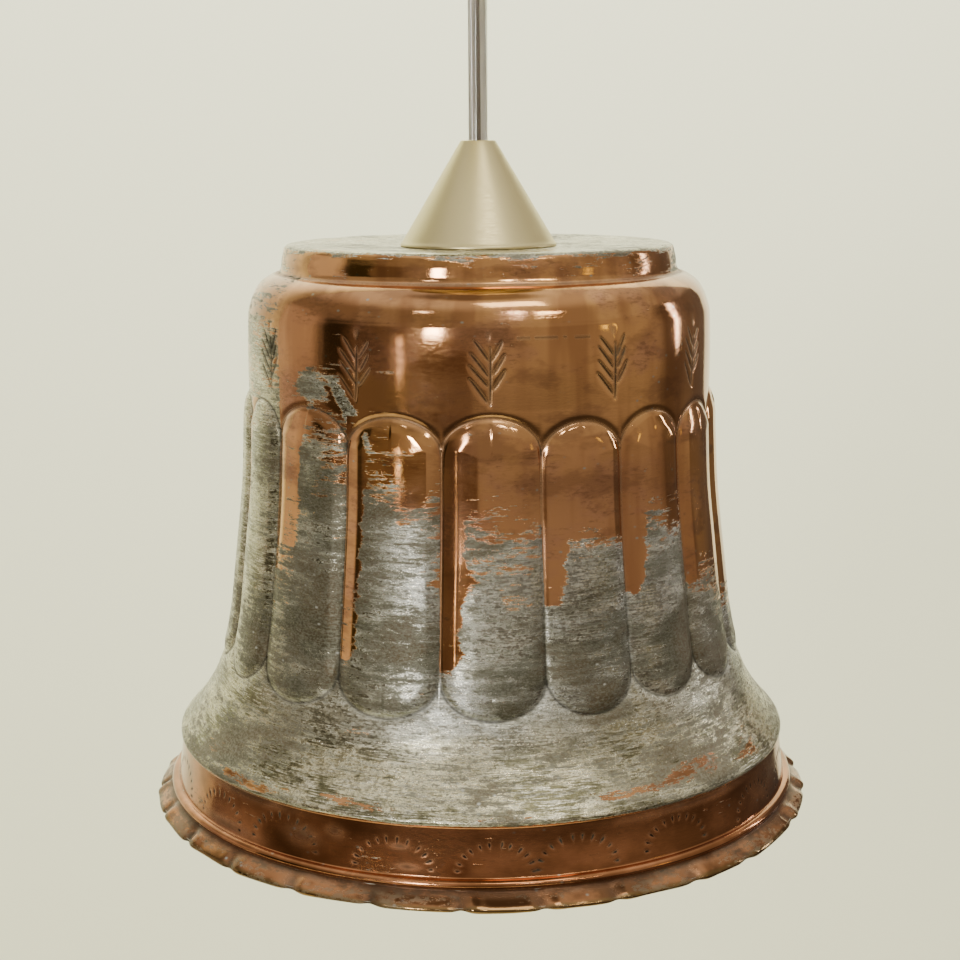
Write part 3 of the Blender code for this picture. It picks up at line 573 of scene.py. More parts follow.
# Stretches of the outer side: how many rings, how many points in a ring, and (radius, height) points in mm
# on a smooth curve.
PROFILE = (
    (10, 600, ((5.6, -0.03), (30.0, -0.03), (48.0, 0.35), (60.0, 0.95), (65.5, 1.25))),
    (6, 600, ((65.5, 1.25), (67.4, 1.05), (68.6, 0.2), (69.1, -1.4))),
    (9, 600, ((69.1, -1.4), (69.7, -4.0), (69.9, -6.4), (70.7, -8.4))),
    (15, 600, ((70.7, -8.4), (73.8, -9.5), (77.1, -11.7), (79.5, -14.9), (81.2, -19.4))),
    (52, 1200, ((81.2, -19.4), (81.9, -23.0), (82.3, -34.0), (82.3, -47.0))),
    (36, 1200, ((82.3, -47.0), (82.4, -54.0), (82.6, -62.5))),
    (24, 1200, ((82.6, -62.5), (83.6, -82.0), (86.0, -104.0), (88.6, -126.0))),
    (48, 1200, ((88.6, -126.0), (90.6, -136.0), (93.6, -144.0), (95.9, -149.5))),
    (20, 600, ((95.9, -149.5), (98.4, -155.3), (102.6, -162.2), (106.7, -167.4), (109.3, -170.2))),
    (7, 600, ((109.3, -170.2), (110.4, -171.8), (110.5, -173.0), (109.9, -173.8))),
    (42, 2400, ((109.9, -173.8), (110.7, -181.5), (111.9, -189.6))),
    (9, 1200, ((111.9, -189.6), (113.6, -189.9), (114.5, -191.1), (114.0, -192.5))),
    (9, 1200, ((114.0, -192.5), (116.5, -193.6), (118.7, -195.1))),
    (8, 1200, ((118.7, -195.1), (119.8, -196.3), (119.7, -197.6), (118.8, -198.2))),
)
SHEET_MM = 1.2
DISC_RADIUS_MM = 68.0
SPRIG_DEPTH_MM = 0.36
TICK_DEPTH_MM = 0.12
PINCH_DEPTH_MM = 1.05
HAND_WAVE_MM = 0.22
# Heights in mm: the crease under the collar, the wall, the band's start, and the rim's crevice and flange.
COLLAR_FOOT = -8.3
WALL_TOP, WALL_FOOT = -19, -174
BAND_TOP = -172.8
FLANGE_TOP = -191.6
RIM_CREVICE = -192.7
TOP_BULGE_MM = 1.4  # the flat top stands a little higher at its edge than round the cone
LOBES = 18
# The grooves between the lobes: the angle of the first, at the front, and the shifts in degrees of those
# round it from their even places.
GROOVE_START = -8.0
GROOVE_SHIFTS = ((0, 1, 2, 3, 4, 15, 16, 17), (-0.4, 1.6, 1.3, 1.0, 1.0, -5.0, -5.8, -3.1))
# The heights of the lobes' tops, for those round the front; the others stand at LOBE_TOP.
LOBE_TOP, LOBE_FOOT = -49.8, -145.0
LOBE_TOPS = {0: -49.3, 1: -51.4, 2: -50.2, 3: -50.6, 15: -49.1, 16: -48.5, 17: -49.6}
TOP_ARCH_MM = 11.6
FOOT_ARCH_MM = 12.4
LOBE_RISE_MM = 1.8
FLANK_MM = 5.8  # a lobe's sloping left edge, from its outline to its flat middle
RIGHT_FLANK_MM = 4.4
# Sprigs, half circles of ticks, and pinches of the rim: how many, and the angle of the first in degrees.
SPRIGS = 12
SPRIG_PHASE = 1.7
SPRIG_TOP = -22.6
ARCS = 20
ARC_PHASE = 1.4
ARC_FOOT = -187.8
ARC_WIDTH_MM, ARC_HEIGHT_MM = 12.6, 9.4
ARC_SHIFTS = {0: 0.9, 1: -3.5, 2: -2.8, ARCS - 1: 2.0, ARCS - 2: -0.7}
TICKS = 12
TICK_START, TICK_STEP = 3, 15.8
CRIMPS = 27
CRIMP_PHASE = -3.6
CRIMP_SHIFTS = {1: -0.8, 2: -2.6, 3: -1.5, 4: -2.7, 5: 2.3, 6: 3.6, 23: -0.9, 24: -1.0, 25: -1.1, 26: -0.8}


def smooth_curve(points, count):
    """Evenly spaced samples on a Catmull-Rom curve, its start left out."""
    points = np.array(points, float)
    padded = np.vstack([2 * points[0] - points[1], points, 2 * points[-1] - points[-2]])
    line = [points[0]]
    for a, b, c, d in zip(padded, padded[1:], padded[2:], padded[3:]):
        for t in np.linspace(0, 1, 25)[1:]:
            cubic = 3 * (b - c) + d - a
            line.append(0.5 * (2 * b + (c - a) * t + (2 * a - 5 * b + 4 * c - d) * t**2 + cubic * t**3))
    line = np.array(line)
    length = np.concatenate([[0], np.cumsum(np.linalg.norm(np.diff(line, axis=0), axis=1))])
    wanted = np.linspace(0, length[-1], count + 1)[1:]
    return np.stack([np.interp(wanted, length, line[:, 0]), np.interp(wanted, length, line[:, 1])], axis=1)


def ease(value):
    """0 below 0, 1 above 1, and smooth between."""
    value = np.clip(value, 0, 1)
    return value * value * (3 - 2 * value)


def near(distance, width):
    """1 at a line, falling to 0 about two widths away."""
    return np.exp(-((distance / width) ** 2))


def wrapped(angle):
    """An angle brought to -180..180."""
    return (angle + 180) % 360 - 180


def groove_angles():
    """The angle of the groove to the left of each lobe. Those at the back are moved a little more."""
    random = np.random.default_rng(SEED)
    lobes = np.arange(LOBES)
    shifts = np.interp(lobes, *GROOVE_SHIFTS)
    unseen = (lobes > 4) & (lobes < 15)
    return GROOVE_START + 360 / LOBES * lobes + shifts + random.uniform(-0.6, 0.6, LOBES) * unseen


def lobe_places(angle):
    """Each point's lobe, its place across it from -1 to 1, and half that lobe's width in degrees."""
    grooves = groove_angles()
    turn = (angle - grooves[0]) % 360
    starts = np.concatenate([grooves - grooves[0], [360.0]])
    lobe = np.clip(np.searchsorted(starts, turn, side="right") - 1, 0, LOBES - 1)
    half = (starts[lobe + 1] - starts[lobe]) / 2
    return lobe, (turn - starts[lobe] - half) / half, half


def wall_share(height):
    """1 on the wall between the shoulder and the ridge, and 0 over and under it."""
    return ease((WALL_TOP - height) / 3) * ease((height - WALL_FOOT) / 3)


def lobe_field(angle, height, radius):
    """Height of the lobes in mm, and how dark their outline is: painted shade in the grooves and over the
    arches, with patina in the chased line.
    """
    random = np.random.default_rng(SEED + 1)
    tops = LOBE_TOP + random.uniform(-1.2, 1.2, LOBES)
    for lobe, top in LOBE_TOPS.items():
        tops[lobe] = top
    feet = LOBE_FOOT + random.uniform(-0.8, 0.8, LOBES)
    lobe, across, half = lobe_places(angle)
    to_groove = (1 - np.abs(across)) * np.radians(half) * radius
    arch = 1 - np.sqrt(np.clip(1 - across**2, 0, 1))
    below_top = (tops[lobe] - TOP_ARCH_MM * arch) - height
    above_foot = height - (feet[lobe] + FOOT_ARCH_MM * arch)
    # An arch's slanting side is nearer than it is high.
    slope = np.sqrt(np.clip(1 - across**2, 0.05, 1))
    ends = np.minimum(below_top, above_foot)
    inside = np.clip(np.minimum(ends * slope, to_groove), 0, None)
    width = np.where(across < 0, FLANK_MM, RIGHT_FLANK_MM)
    width = width + (FLANK_MM - RIGHT_FLANK_MM) * near(across, 0.3) * 0.5
    flank = inside / width
    # Straight up the flank, and slightly hollow in the middle, with a soft crease between.
    raised = 0.5 * (flank + 1 - np.sqrt((flank - 1) ** 2 + 0.04))
    middle = ease((inside - width) / 6) * (1 - across**2)
    at_arch = np.abs(across) < 0.995
    beside = ends > -1
    channel = near(ends * slope, 1.1) * at_arch
    total = LOBE_RISE_MM * raised + 0.35 * middle - 0.36 * channel - 0.25 * near(to_groove, 0.6) * beside
    # The dark outline is painted shade in the grooves and round the arches, with patina in the line.
    dark = 0.85 * near(ends * slope, 0.42) * at_arch + 0.6 * near(to_groove, 0.4) * beside
    return total, np.clip(dark, 0, 0.9)


# A sprig's leaves, as (outer x, outer height, inner x, inner height) in mm under the sprig's top.
LEAVES = (
    (-4.9, -2.8, -0.4, -9.2),
    (-6.2, -6.4, -0.6, -13.4),
    (-6.0, -10.6, -0.8, -17.2),
    (-6.6, -14.6, -1.2, -21.6),
    (4.0, -3.2, 1.0, -9.0),
    (4.6, -7.4, 1.0, -13.2),
    (4.8, -11.6, 0.8, -17.6),
    (0.3, -5.0, -0.3, -22.5),
)


def sprig_field(angle, height, radius):
    """Depth of the chased sprigs and how dark they are, both from 0 to 1. The dark line lies along the
    shaded side of each leaf: painted shade, with patina in the chased line.
    """
    random = np.random.default_rng(SEED + 2)
    depth = np.zeros_like(angle)
    dark = np.zeros_like(angle)
    for sprig in range(SPRIGS):
        centre = SPRIG_PHASE + 360 / SPRIGS * sprig + random.uniform(-0.4, 0.4)
        lean = math.radians(random.uniform(-4, 4))
        x = np.radians(wrapped(angle - centre)) * radius
        z = height - SPRIG_TOP - random.uniform(-0.8, 0.8)
        x, z = x * math.cos(lean) - z * math.sin(lean), z * math.cos(lean) + x * math.sin(lean)
        close = (np.abs(x) < 12) & (z < 4) & (z > -30)
        bud = near(x / (0.35 - 0.32 * np.clip(z / -3.4, -1, 1)), 3.2) * near(z + 1.4, 1.8)
        total = 0.55 * bud
        line = 0.5 * bud
        for x0, z0, x1, z1 in LEAVES:
            x0 += random.uniform(-0.4, 0.4)
            x1 += random.uniform(-0.2, 0.2)
            z0 += random.uniform(-0.5, 0.5)
            z1 += random.uniform(-0.5, 0.5)
            length = math.hypot(x1 - x0, z1 - z0)
            along = ((x - x0) * (x1 - x0) + (z - z0) * (z1 - z0)) / length
            aside = ((x - x0) * (z1 - z0) - (z - z0) * (x1 - x0)) / length
            share = np.clip(along / length, 0, 1)
            off_end = along - share * length
            width = 0.72 * np.sqrt(np.clip(4 * (share + 0.06) * (1.06 - share), 0.05, 1))
            leaf = near(np.hypot(aside, off_end) / width, 1.0) * (0.6 + 0.4 * share)
            total = np.maximum(total, leaf)
            # The dark line is set to one side of the leaf as painted shade.
            line = np.maximum(line, near(np.hypot(aside + 0.35 * width, off_end) / width, 0.85))
        depth = np.maximum(depth, total * close)
        dark = np.maximum(dark, line * close)
    return depth, dark


def tick_field(angle, height, radius):
    """Depth of the punched ticks, which stand in half circles on the band."""
    random = np.random.default_rng(SEED + 3)
    depth = np.zeros_like(angle)
    for arc in range(ARCS):
        centre = ARC_PHASE + 360 / ARCS * arc + ARC_SHIFTS.get(arc, random.uniform(-1.5, 1.5))
        size = random.uniform(0.92, 1.06)
        x = np.radians(wrapped(angle - centre)) * radius
        z = height - ARC_FOOT + random.uniform(-0.5, 0.5)
        close = (np.abs(x) < 16) & (z > -4) & (z < 13)
        for tick in range(TICKS):
            turn = math.radians(TICK_START + TICK_STEP * tick + random.uniform(-2, 2))
            out_x = math.cos(turn)
            out_z = math.sin(turn)
            middle_x = size * ARC_WIDTH_MM * out_x
            middle_z = size * ARC_HEIGHT_MM * out_z
            # A tick points away from the half circle's middle.
            along = (x - middle_x) * out_x + (z - middle_z) * out_z
            aside = (z - middle_z) * out_x - (x - middle_x) * out_z
            length = random.uniform(0.8, 1.2)
            mark = near(aside / np.clip(0.40 + 0.16 * along, 0.2, 0.7), 1.0) * near(along, length)
            depth = np.maximum(depth, mark * close * random.uniform(0.6, 1.0))
    return depth


def pinches():
    """The angle, width in mm and strength of every pinch of the rim."""
    random = np.random.default_rng(SEED + 4)
    made = []
    for crimp in range(CRIMPS):
        shift = CRIMP_SHIFTS.get(crimp, 0.0 if crimp == 0 else random.uniform(-1.6, 1.6))
        angle = CRIMP_PHASE + 360 / CRIMPS * crimp + shift
        made.append((angle, random.uniform(2.2, 3.6), random.uniform(0.5, 0.95)))
    return made


def crimp_field(angle, height, radius):
    """How near each point is to a pinched place of the rim, and to the stretch just beside one."""
    pinch = np.zeros_like(angle)
    beside = np.zeros_like(angle)
    for centre, width, strength in pinches():
        x = np.radians(wrapped(angle - centre)) * radius + 0.25 * (height + 193)
        pinch = np.maximum(pinch, near(x, width) * strength)
        beside = np.maximum(beside, near(x - 5.0, 3.2) * strength)
    reach = ease((-191.8 - height) / 2.2)
    return pinch * reach, beside * reach


def hand_work(angle, height):
    """The slight waves of a sheet that was raised by hand, in mm."""
    random = np.random.default_rng(SEED + 5)
    total = np.zeros_like(angle)
    for _ in range(26):
        turns = random.integers(2, 26)
        rise = random.uniform(-0.16, 0.16)
        phase = random.uniform(0, FULL_TURN)
        total += np.sin(np.radians(angle) * turns + height * rise + phase) / (1 + 0.12 * turns)
    return total / 8


# The height of the tin's upper edge at angles round the shade.
TIN_EDGES = (
    (-180, -90), (-150, -72), (-120, -58), (-95, -34), (-70, -22), (-57, -26), (-54, -40), (-53, -92),
    (-45, -96), (-43, -60), (-33, -62), (-30, -66), (-20, -68), (-17, -76), (-9, -84), (-6, -88), (12, -89),
    (15, -90), (33, -90), (35, -104), (40, -86), (52, -86), (54, -112), (62, -112), (72, -120), (85, -128),
    (110, -104), (140, -92), (160, -86), (180, -90),
)
# Over how many mm it fades, at angles round the shade.
TIN_FADES = (
    (-180, 26), (-60, 34), (-40, 26), (-10, 26), (0, 15), (12, 13), (15, 6), (33, 6), (40, 10), (70, 14),
    (180, 26),
)
# Patches that keep their tin (strength over 0) or lost it: angle, height, half width and half height in mm,
# slant, strength.
PATCHES = (
    (-42.0, -40.6, 7.0, 4.5, 0.0, 1.0),
    (-30.5, -48.5, 3.0, 12.0, -0.62, 1.0),
    (-41.5, -69.0, 3.6, 8.0, 0.2, 0.8),
    (-5.0, -101.0, 7.0, 3.5, 0.0, -0.7),
    (-14.0, -72.0, 4.0, 8.0, 0.5, -0.5),
    (8.0, -108.0, 6.0, 3.0, 0.0, -0.6),
    (-24.0, -150.0, 9.0, 1.6, 0.0, -0.6),
    (27.0, -167.6, 16.0, 1.8, 0.0, -0.75),
    (42.0, -166.0, 14.0, 3.4, 0.3, -0.95),
    (58.0, -167.6, 10.0, 3.0, 0.0, -0.7),
    (3.0, -171.2, 12.0, 1.0, 0.0, -0.7),
    (-20.0, -169.5, 16.0, 1.4, 0.0, -0.6),
    (-44.0, -170.6, 18.0, 1.6, 0.0, -0.8),
    (-60.0, -166.0, 9.0, 3.0, 0.2, -0.5),
)
# How far down the copper shows on the left flank of the lobes round the front.
FLANK_FEET = {0: -134, 1: -114, 2: -112, 3: -112, 4: -120, 15: -96, 16: -98, 17: -134}
# Places dark with patina, and with painted shade in the thin bands just under the ridge and the patches on
# the band's left and right sides: angle, height, and half width and half height in mm.
STAINS_AND_SHADE = (
    (46.0, -172.2, 17.0, 1.6),
    (-31.5, -182.0, 6.0, 3.0),
    (-50.0, -187.8, 14.0, 2.0),
    (62.0, -179.0, 12.0, 6.0),
    (-44.0, -174.6, 22.0, 1.8),
    (40.0, -175.0, 30.0, 1.4),
    (-13.5, -180.5, 3.0, 1.0),
    (-12.0, -186.8, 3.4, 1.0),
    (-25.0, -178.5, 3.0, 2.0),
)
# A broken scratch between two sprigs: its height, and the angles where its parts start and end.
SCRATCH_Z = -24.4
SCRATCH_PARTS = ((8.4, 11.2), (12.0, 17.6), (18.6, 19.8), (21.4, 25.2))


def tin_reach(angle, height, radius):
    """The tin's field: over 0.5 where the sheet is tinned."""
    reach = np.interp(angle, *zip(*TIN_EDGES)) - height
    reach = np.clip(0.5 + 0.5 * reach / np.interp(angle, *zip(*TIN_FADES)), -0.2, 1.2)
    for middle, middle_z, half_x, half_z, slant, strength in PATCHES:
        z = height - middle_z
        x = np.radians(wrapped(angle - middle)) * radius - slant * z
        reach = reach + strength * np.exp(-((x / half_x) ** 4) - (z / half_z) ** 4)
    # Copper shows along each lobe's left flank.
    lobe, across, half = lobe_places(angle)
    from_groove = (across + 1) * np.radians(half) * radius
    feet = [FLANK_FEET.get(number, -118 + 9 * math.sin(5 * number)) for number in range(LOBES)]
    feet = np.array(feet)[lobe]
    width = 7.0 * np.sqrt(np.clip((height - feet) / 9, 0, 1)) + 0.7 * np.sin(0.7 * height + 3 * lobe)
    flank = ease((width - from_groove) / 3.4 + 0.5) * ease((height - feet) / 8) * (height < LOBE_TOP)
    reach = reach - 1.15 * flank
    # The band and the rim are copper with a little tin, and the flat top is tinned.
    ridge = ease((-172.5 - height) / 1.2)
    reach = reach * (1 - ridge) - 0.08 * ridge
    collar = 0.10 + 0.4 * ease((angle - 64) / 10) + 0.4 * ease((-66 - angle) / 8)
    reach = np.where(height > COLLAR_FOOT, collar, reach)
    return np.where(radius < DISC_RADIUS_MM, 0.95, np.where(height > -0.9, 0.45, reach))


def shade_rings(rows, columns):
    """The angle, radius and height of every point, in mm, for rings that stand at these rows."""
    angles = wrapped(np.arange(columns) * 360 / columns)
    shape = (len(rows), columns)
    angle = np.broadcast_to(angles[None, :], shape)
    radius = np.broadcast_to(rows[:, 0, None], shape)
    height = np.broadcast_to(rows[:, 1, None], shape)
    return angle, radius, height


def normals_of(rows):
    """The radial and upright parts of the outward normal at every row of the profile."""
    run = np.gradient(rows, axis=0)
    run /= np.linalg.norm(run, axis=1)[:, None]
    return -run[:, 1, None], run[:, 0, None]


def placed(angle, r, z):
    """Points in metres from angles in degrees and from radii and heights in mm."""
    turn = np.radians(angle)
    return np.stack([r * np.sin(turn) * MM, -r * np.cos(turn) * MM, z * MM + SHADE_TOP], axis=-1)


def dark_marks(angle, height, radius):
    """Patina in patches, painted shade under the ridge and on the band's sides, and the scratch between two
    sprigs.
    """
    random = np.random.default_rng(SEED + 6)
    total = np.zeros_like(angle)
    for middle, middle_z, half_x, half_z in STAINS_AND_SHADE:
        x = np.radians(wrapped(angle - middle)) * radius
        z = height - middle_z
        total = np.maximum(total, 0.75 * np.exp(-((x / half_x) ** 2) - (z / half_z) ** 2))
    for first, last in SCRATCH_PARTS:
        along = (angle > first) & (angle < last)
        z = SCRATCH_Z + random.uniform(-0.2, 0.2)
        total = np.maximum(total, 0.9 * near(height - z, 0.42) * along)
    return total


def pits_and_shade_field(angle, height):
    """How much of the tin is eaten, which is most on the lobes' lower right parts, where it is painted shade
    as well as pits.
    """
    across = lobe_places(angle)[1]
    arch = LOBE_FOOT + FOOT_ARCH_MM * (1 - np.sqrt(1 - across**2))
    low = ease((-104 - height) / 22) * ease((height - arch) / 3)
    # More on each lobe's lower right part: painted shade as well as pits.
    total = 0.46 + 0.5 * low * ease((across + 0.7) / 0.9) - 0.12 * low
    total = total - 0.2 * ease((-128 - height) / 10) * ease((height + 156) / 6) * (1 - low)
    left = ease((-14 - angle) / 14) * ease((angle + 56) / 8) * ease((height + 140) / 20)
    total = total + 0.3 * left * ease((-60 - height) / 10) - 0.3 * ease((-56 - angle) / 10)
    total = total - 0.3 * near(angle - 20, 9) * ease((height + 132) / 8)
    total = total - 0.2 * near(angle - 8, 14) * near(height + 103, 10) - 0.1 * ease((-150 - height) / 6)
    return total


def outer_side(rows, columns, normals):
    """Points of a stretch of the outer side, and the fields its material reads."""
    angle, radius, height = shade_rings(rows, columns)
    normal_r, normal_z = normals
    lobes, lines = lobe_field(angle, height, radius)
    wall = wall_share(height)
    sprigs, sprig_lines_and_shade = sprig_field(angle, height, radius)
    ticks = tick_field(angle, height, radius)
    pinch, beside = crimp_field(angle, height, radius)
    # The top is left flat round the cone, and the rim's outermost edge stays inside its size.
    calm = ease((radius - 34) / 20)
    push = lobes * wall - SPRIG_DEPTH_MM * sprigs * wall - TICK_DEPTH_MM * ticks
    push += HAND_WAVE_MM * hand_work(angle, height) * calm
    flange = ease((FLANGE_TOP - height) / 2.0)
    waves = 0.25 * np.sin(np.radians(angle) * 9 + 1) + 0.2 * np.sin(np.radians(angle) * 23)
    push += flange * (0.35 * waves - 0.55) - PINCH_DEPTH_MM * pinch + 0.5 * beside
    r = np.minimum(radius + push * normal_r, RIM_RADIUS_MM)
    z = np.clip(height + push * normal_z - 0.35 * flange * (waves + 1 - beside), FOOT_MM, TOP_BULGE_MM)

    # Patina in the chased lines, ticks and pinches, with painted shade along the lobes' outlines and on one
    # side of each sprig leaf; the crevice term paints shade in the crease under the collar and in the rim's
    # crevice.
    dirt_and_shade = (lines + sprig_lines_and_shade) * wall + 2.2 * ticks + 1.1 * pinch
    crevice = 0.75 * near(height + 8.5, 0.5) * (radius < 72) + 0.8 * near(height - RIM_CREVICE, 0.7)
    dirt_and_shade = np.maximum(np.maximum(dirt_and_shade, crevice), dark_marks(angle, height, radius))
    creamy = ease((-143 - height) / 16) * ease((height - WALL_FOOT) / 2)
    fields = {
        "tin": tin_reach(angle, height, radius),
        "dirt_and_shade": np.clip(dirt_and_shade, 0, 1),
        "band": ease((BAND_TOP - height) / 1.4),
        "flare": creamy + 0.8 * ease((-angle - 40) / 14) * wall,
        "disc": ease(DISC_RADIUS_MM + 1 - radius),
        "pits_and_shade": np.where(radius < DISC_RADIUS_MM, 0.25, pits_and_shade_field(angle, height)),
        "rim": flange,
        "roll": ease((-195.0 - height) / 0.8),
    }
    return placed(angle, r, z), fields


def inner_side(rows, normals):
    """Points of the inner side, one sheet in from the outer one, from the rim up to the hole."""
    angle, radius, height = shade_rings(rows, INNER_COLUMNS)
    normal_r, normal_z = normals
    push = lobe_field(angle, height, radius)[0] * wall_share(height)
    push = push - SHEET_MM - 0.5 * ease((-191.0 - height) / 3)
    r = np.maximum(radius + push * normal_r, SHADE_HOLE_MM)
    z = np.clip(height + push * normal_z, FOOT_MM, TOP_BULGE_MM)
    # A third of the rings is enough inside, with the first and the last among them.
    kept = sorted({*range(0, len(r), 3), len(r) - 1}, reverse=True)
    return placed(angle, r, z)[kept]


def make_shade():
    """The fluted sheet, with its chased and punched lines pushed into the mesh."""
    rows = [np.array([PROFILE[0][2][0]], float)]
    for count, _, points in PROFILE:
        rows.append(smooth_curve(points, count))
    columns = np.repeat([PROFILE[0][1]] + [stretch[1] for stretch in PROFILE], [len(part) for part in rows])
    rows = np.vstack(rows)
    normals = normals_of(rows)
    rings = []
    layers = {}
    for row in range(len(rows)):
        here = slice(row, row + 1)
        ring, fields = outer_side(rows[here], columns[row], [part[here] for part in normals])
        rings.append(ring[0])
        for name, values in fields.items():
            layers.setdefault(name, []).append(values[0])
    inner = inner_side(rows, normals)
    mesh = ring_mesh("shade_sheet", rings + list(inner), inside=len(rings))
    for name, values in layers.items():
        layer = mesh.attributes.new(name, "FLOAT", "POINT")
        values.append(np.zeros(inner.shape[0] * inner.shape[1]))
        layer.data.foreach_set("value", np.concatenate(values).astype(np.float32))
    mesh.materials.append(LOOKS["tinned_copper"])
    mesh.materials.append(inside_material())
    add_piece("shade_sheet", mesh, "shade")


make_shade()


# Cone and canopy.


def offset_inward(outline, wall):
    """An outline's points moved inwards by wall, in mm."""
    points = np.array(outline, float)
    run = np.gradient(points, axis=0)
    run /= np.linalg.norm(run, axis=1)[:, None]
    return [(r + wall * dz, z - wall * dr) for (r, z), (dr, dz) in zip(points, run)]


def make_cone():
    """The cone cap, open at its top for the cord and underneath."""
    outer = [(5.05, 36.66), (6.1, 36.66), (26.9, 1.8), (27.69, 0.9), (27.69, 0.03)]
    inner = [(26.5, 0.03), (25.7, 1.2), (5.6, 35.0), (5.05, 35.4)]
    mesh = turned_mesh("cone_cap", outer + inner, SHADE_TOP, 180, 0.7)
    mesh.materials.append(LOOKS["satin_nickel"])
    add_piece("cone_cap", mesh, "cone")


def make_canopy():
    """A cup with its rim up, its bush's hole in the middle of its foot."""
    rim_z = -8.0
    hole_radius = 5.3
    side = ((50, rim_z), (50, -34), (48.4, -44), (43, -53), (33, -59.2), (20, -61.6), (hole_radius, -61.95))
    outer = [side[0]] + [tuple(point) for point in smooth_curve(side, 34)]
    inner = [(max(r, hole_radius), z) for r, z in offset_inward(outer, 1.0)]
    outline = outer + inner[::-1]
    outline = [(min(r, 49.98), min(z, rim_z - 0.02)) for r, z in outline]
    mesh = turned_mesh("canopy_cup", outline, 0, 144, 0.2)
    mesh.materials.append(LOOKS["satin_nickel"])
    add_piece("canopy_cup", mesh, "canopy")


make_cone()
make_canopy()


# Stage and light.

BACKDROP_Y = 1.3
FLOOR_Z = -1.7
BACKDROP_COLOUR = (0.866, 0.876, 0.657)
# The right edge is just outside the view, and the lamp's right side reflects the dim room beyond it.
BACKDROP_LEFT, BACKDROP_RIGHT = -3.0, 0.95
BACKDROP_TOP = 2.2
FLOOR_FRONT = -2.5
BEND_RADIUS = 0.5
BEND_STEPS = 16


def make_stage():
    """A plain pale floor that curves up into a wall."""
    outline = [(FLOOR_FRONT, FLOOR_Z)]
    for step in range(BEND_STEPS + 1):
        turn = math.pi / 2 * step / BEND_STEPS
        y = BACKDROP_Y - BEND_RADIUS + BEND_RADIUS * math.sin(turn)
        z = FLOOR_Z + BEND_RADIUS - BEND_RADIUS * math.cos(turn)
        outline.append((y, z))
    outline.append((BACKDROP_Y, BACKDROP_TOP))
    points = [(x, y, z) for y, z in outline for x in (BACKDROP_LEFT, BACKDROP_RIGHT)]
    faces = [(2 * i, 2 * i + 1, 2 * i + 3, 2 * i + 2) for i in range(len(outline) - 1)]
    mesh = bpy.data.meshes.new("backdrop")
    mesh.from_pydata(points, [], faces)
    mesh.shade_smooth()
    s = Shader("pale_paint")
    s.principled(Base_Color=BACKDROP_COLOUR, Roughness=0.9)
    mesh.materials.append(s.material)
    backdrop = bpy.data.objects.new("backdrop", mesh)
    SCENE.collection.objects.link(backdrop)


def area_light(name, place, target, size, power, colour, mirrored=True):
    """A rectangular lamp of a size in metres and a power in watts, with or without a reflection."""
    data = bpy.data.lights.new(name, "AREA")
    data.shape = "RECTANGLE"
    data.size, data.size_y = size
    data.energy = power
    data.color = colour
    light = bpy.data.objects.new(name, data)
    light.visible_glossy = mirrored
    SCENE.collection.objects.link(light)
    place = Vector(place)
    aim = (Vector(target) - place).to_track_quat("-Z", "Y")
    light.matrix_world = Matrix.Translation(place) @ aim.to_matrix().to_4x4()


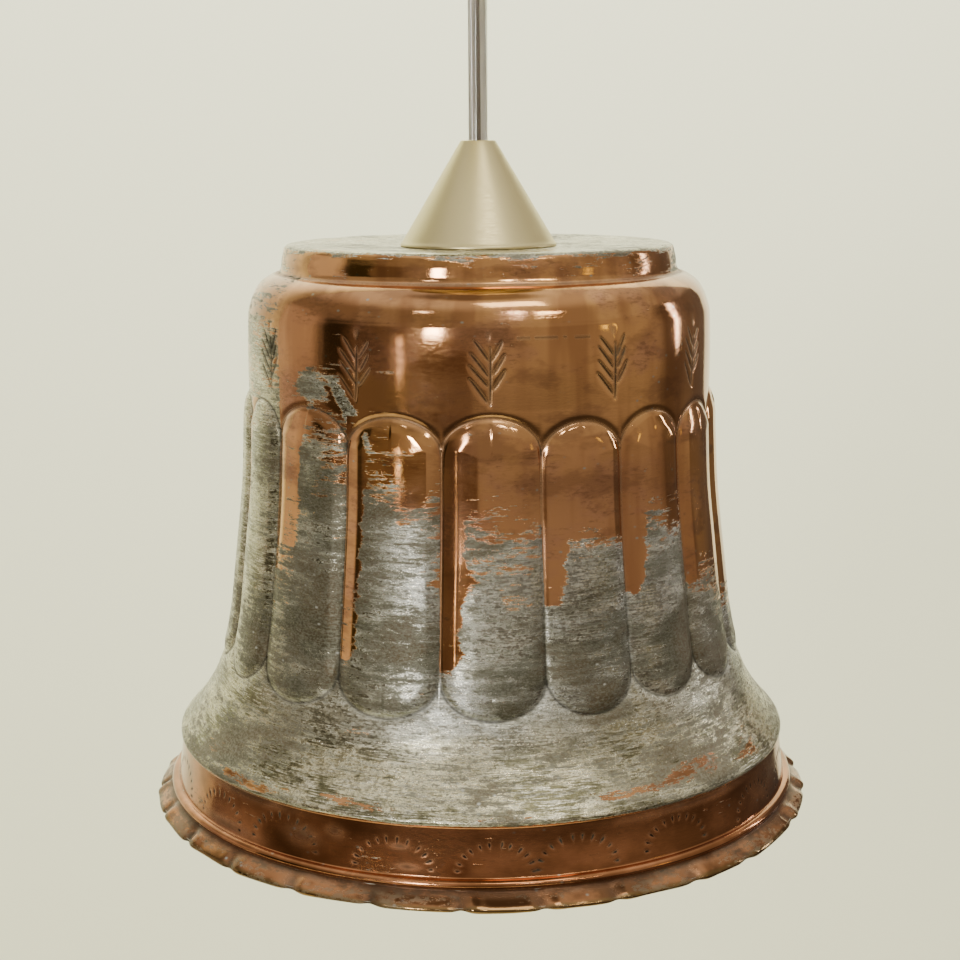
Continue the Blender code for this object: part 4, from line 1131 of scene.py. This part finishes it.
def make_world():
    """A dim warm room in front of the lamp, a pale ceiling, and a paler wall to the left and behind.

    x, y and z are the parts of a direction, so each ramp is a soft edge between two parts of the room.
    """
    world = bpy.data.worlds.new("room")
    world.use_nodes = True
    s = Nodes(world.node_tree)
    direction = s.node("ShaderNodeSeparateXYZ")
    s.feed(direction.inputs[0], s.node("ShaderNodeTexCoord").outputs["Generated"])
    x, y, z = direction.outputs
    front = s.mix(s.ramp(x, -0.75, -0.48, 1.0, 0.0), (0.46, 0.385, 0.30), (0.20, 0.15, 0.095))
    corner = s.times(s.ramp(y, -0.46, -0.38), s.ramp(x, -0.8, -0.7, 1.0, 0.0))
    front = s.mix(corner, front, (0.045, 0.038, 0.016))
    behind = s.mix(s.ramp(x, -0.4, 0.5), (0.84, 0.72, 0.55), (0.22, 0.175, 0.125))
    # A dim stretch just under the height of the lamp.
    upright = s.times(s.ramp(z, -0.15, -0.11), s.ramp(z, -0.06, -0.02, 1.0, 0.0))
    across = s.times(s.ramp(x, -0.74, -0.66), s.ramp(x, -0.09, -0.04, 1.0, 0.0))
    dim = s.times(s.times(upright, across), s.ramp(y, -0.3, -0.2, 1.0, 0.0))
    front = s.mix(dim, front, (0.19, 0.13, 0.08))
    colour = s.mix(s.ramp(s.sum(y, s.times(x, -0.12)), -0.06, 0.10), front, behind)
    low = s.mix(s.ramp(x, -0.9, -0.6), (0.22, 0.165, 0.11), (0.10, 0.08, 0.06))
    colour = s.mix(s.ramp(z, -0.30, -0.06), low, colour)
    ceiling = s.mix(s.ramp(x, -0.35, 0.1), (0.42, 0.36, 0.26), (0.56, 0.49, 0.38))
    colour = s.mix(s.ramp(z, 0.29, 0.38), colour, ceiling)
    colour = s.mix(s.ramp(z, 0.55, 0.88), colour, (1.06, 1.0, 0.86))
    colour = s.mix(s.ramp(z, 0.93, 0.985), colour, (0.34, 0.29, 0.22))
    colour = s.mix(s.ramp(z, -0.75, -0.45, 1.0, 0.0), colour, (0.22, 0.19, 0.155))
    # Seen directly, the room is as pale as the backdrop.
    seen = s.node("ShaderNodeLightPath").outputs["Is Camera Ray"]
    s.feed(s.tree.nodes["Background"].inputs["Color"], s.mix(seen, colour, (0.80, 0.79, 0.74)))
    SCENE.world = world


def at_angle(distance, degrees, height):
    """A point at a distance from the lamp's axis."""
    turn = math.radians(degrees)
    return (distance * math.sin(turn), -distance * math.cos(turn), height)


def make_light():
    middle = (0, 0, SHADE_TOP - 0.03)
    bright, warm, yellow = (1.0, 0.97, 0.90), (1.0, 0.93, 0.78), (1.0, 0.80, 0.12)
    area_light("window", at_angle(2.5, -22, 0.24), middle, (0.26, 0.80), 24, bright)
    area_light("narrow_window", at_angle(2.5, -37, -0.34), middle, (0.07, 0.26), 0.6, (1.0, 0.88, 0.66))
    area_light("far_window", at_angle(2.0, 109, 0.05), middle, (0.07, 0.8), 4.5, bright)
    area_light("ceiling_lamp", at_angle(1.8, 18, 1.05), middle, (0.22, 0.12), 2.2, bright)
    area_light("second_ceiling_lamp", at_angle(1.8, -29, 1.10), middle, (0.20, 0.08), 0.7, bright)
    area_light("ceiling_glow", at_angle(1.3, 26, 1.9), middle, (1.0, 0.6), 9, warm)
    area_light("ceiling_strip", at_angle(1.8, 37, 0.98), middle, (0.42, 0.05), 1.8, warm)
    area_light("yellow_lamp", at_angle(2.5, 63, 0.14), middle, (0.18, 0.45), 0.5, yellow)
    area_light("wall_wash", (0, -0.3, 1.5), (0, BACKDROP_Y, -0.4), (2.0, 0.6), 125, (1.0, 0.99, 0.94), False)


make_stage()
make_world()
make_light()
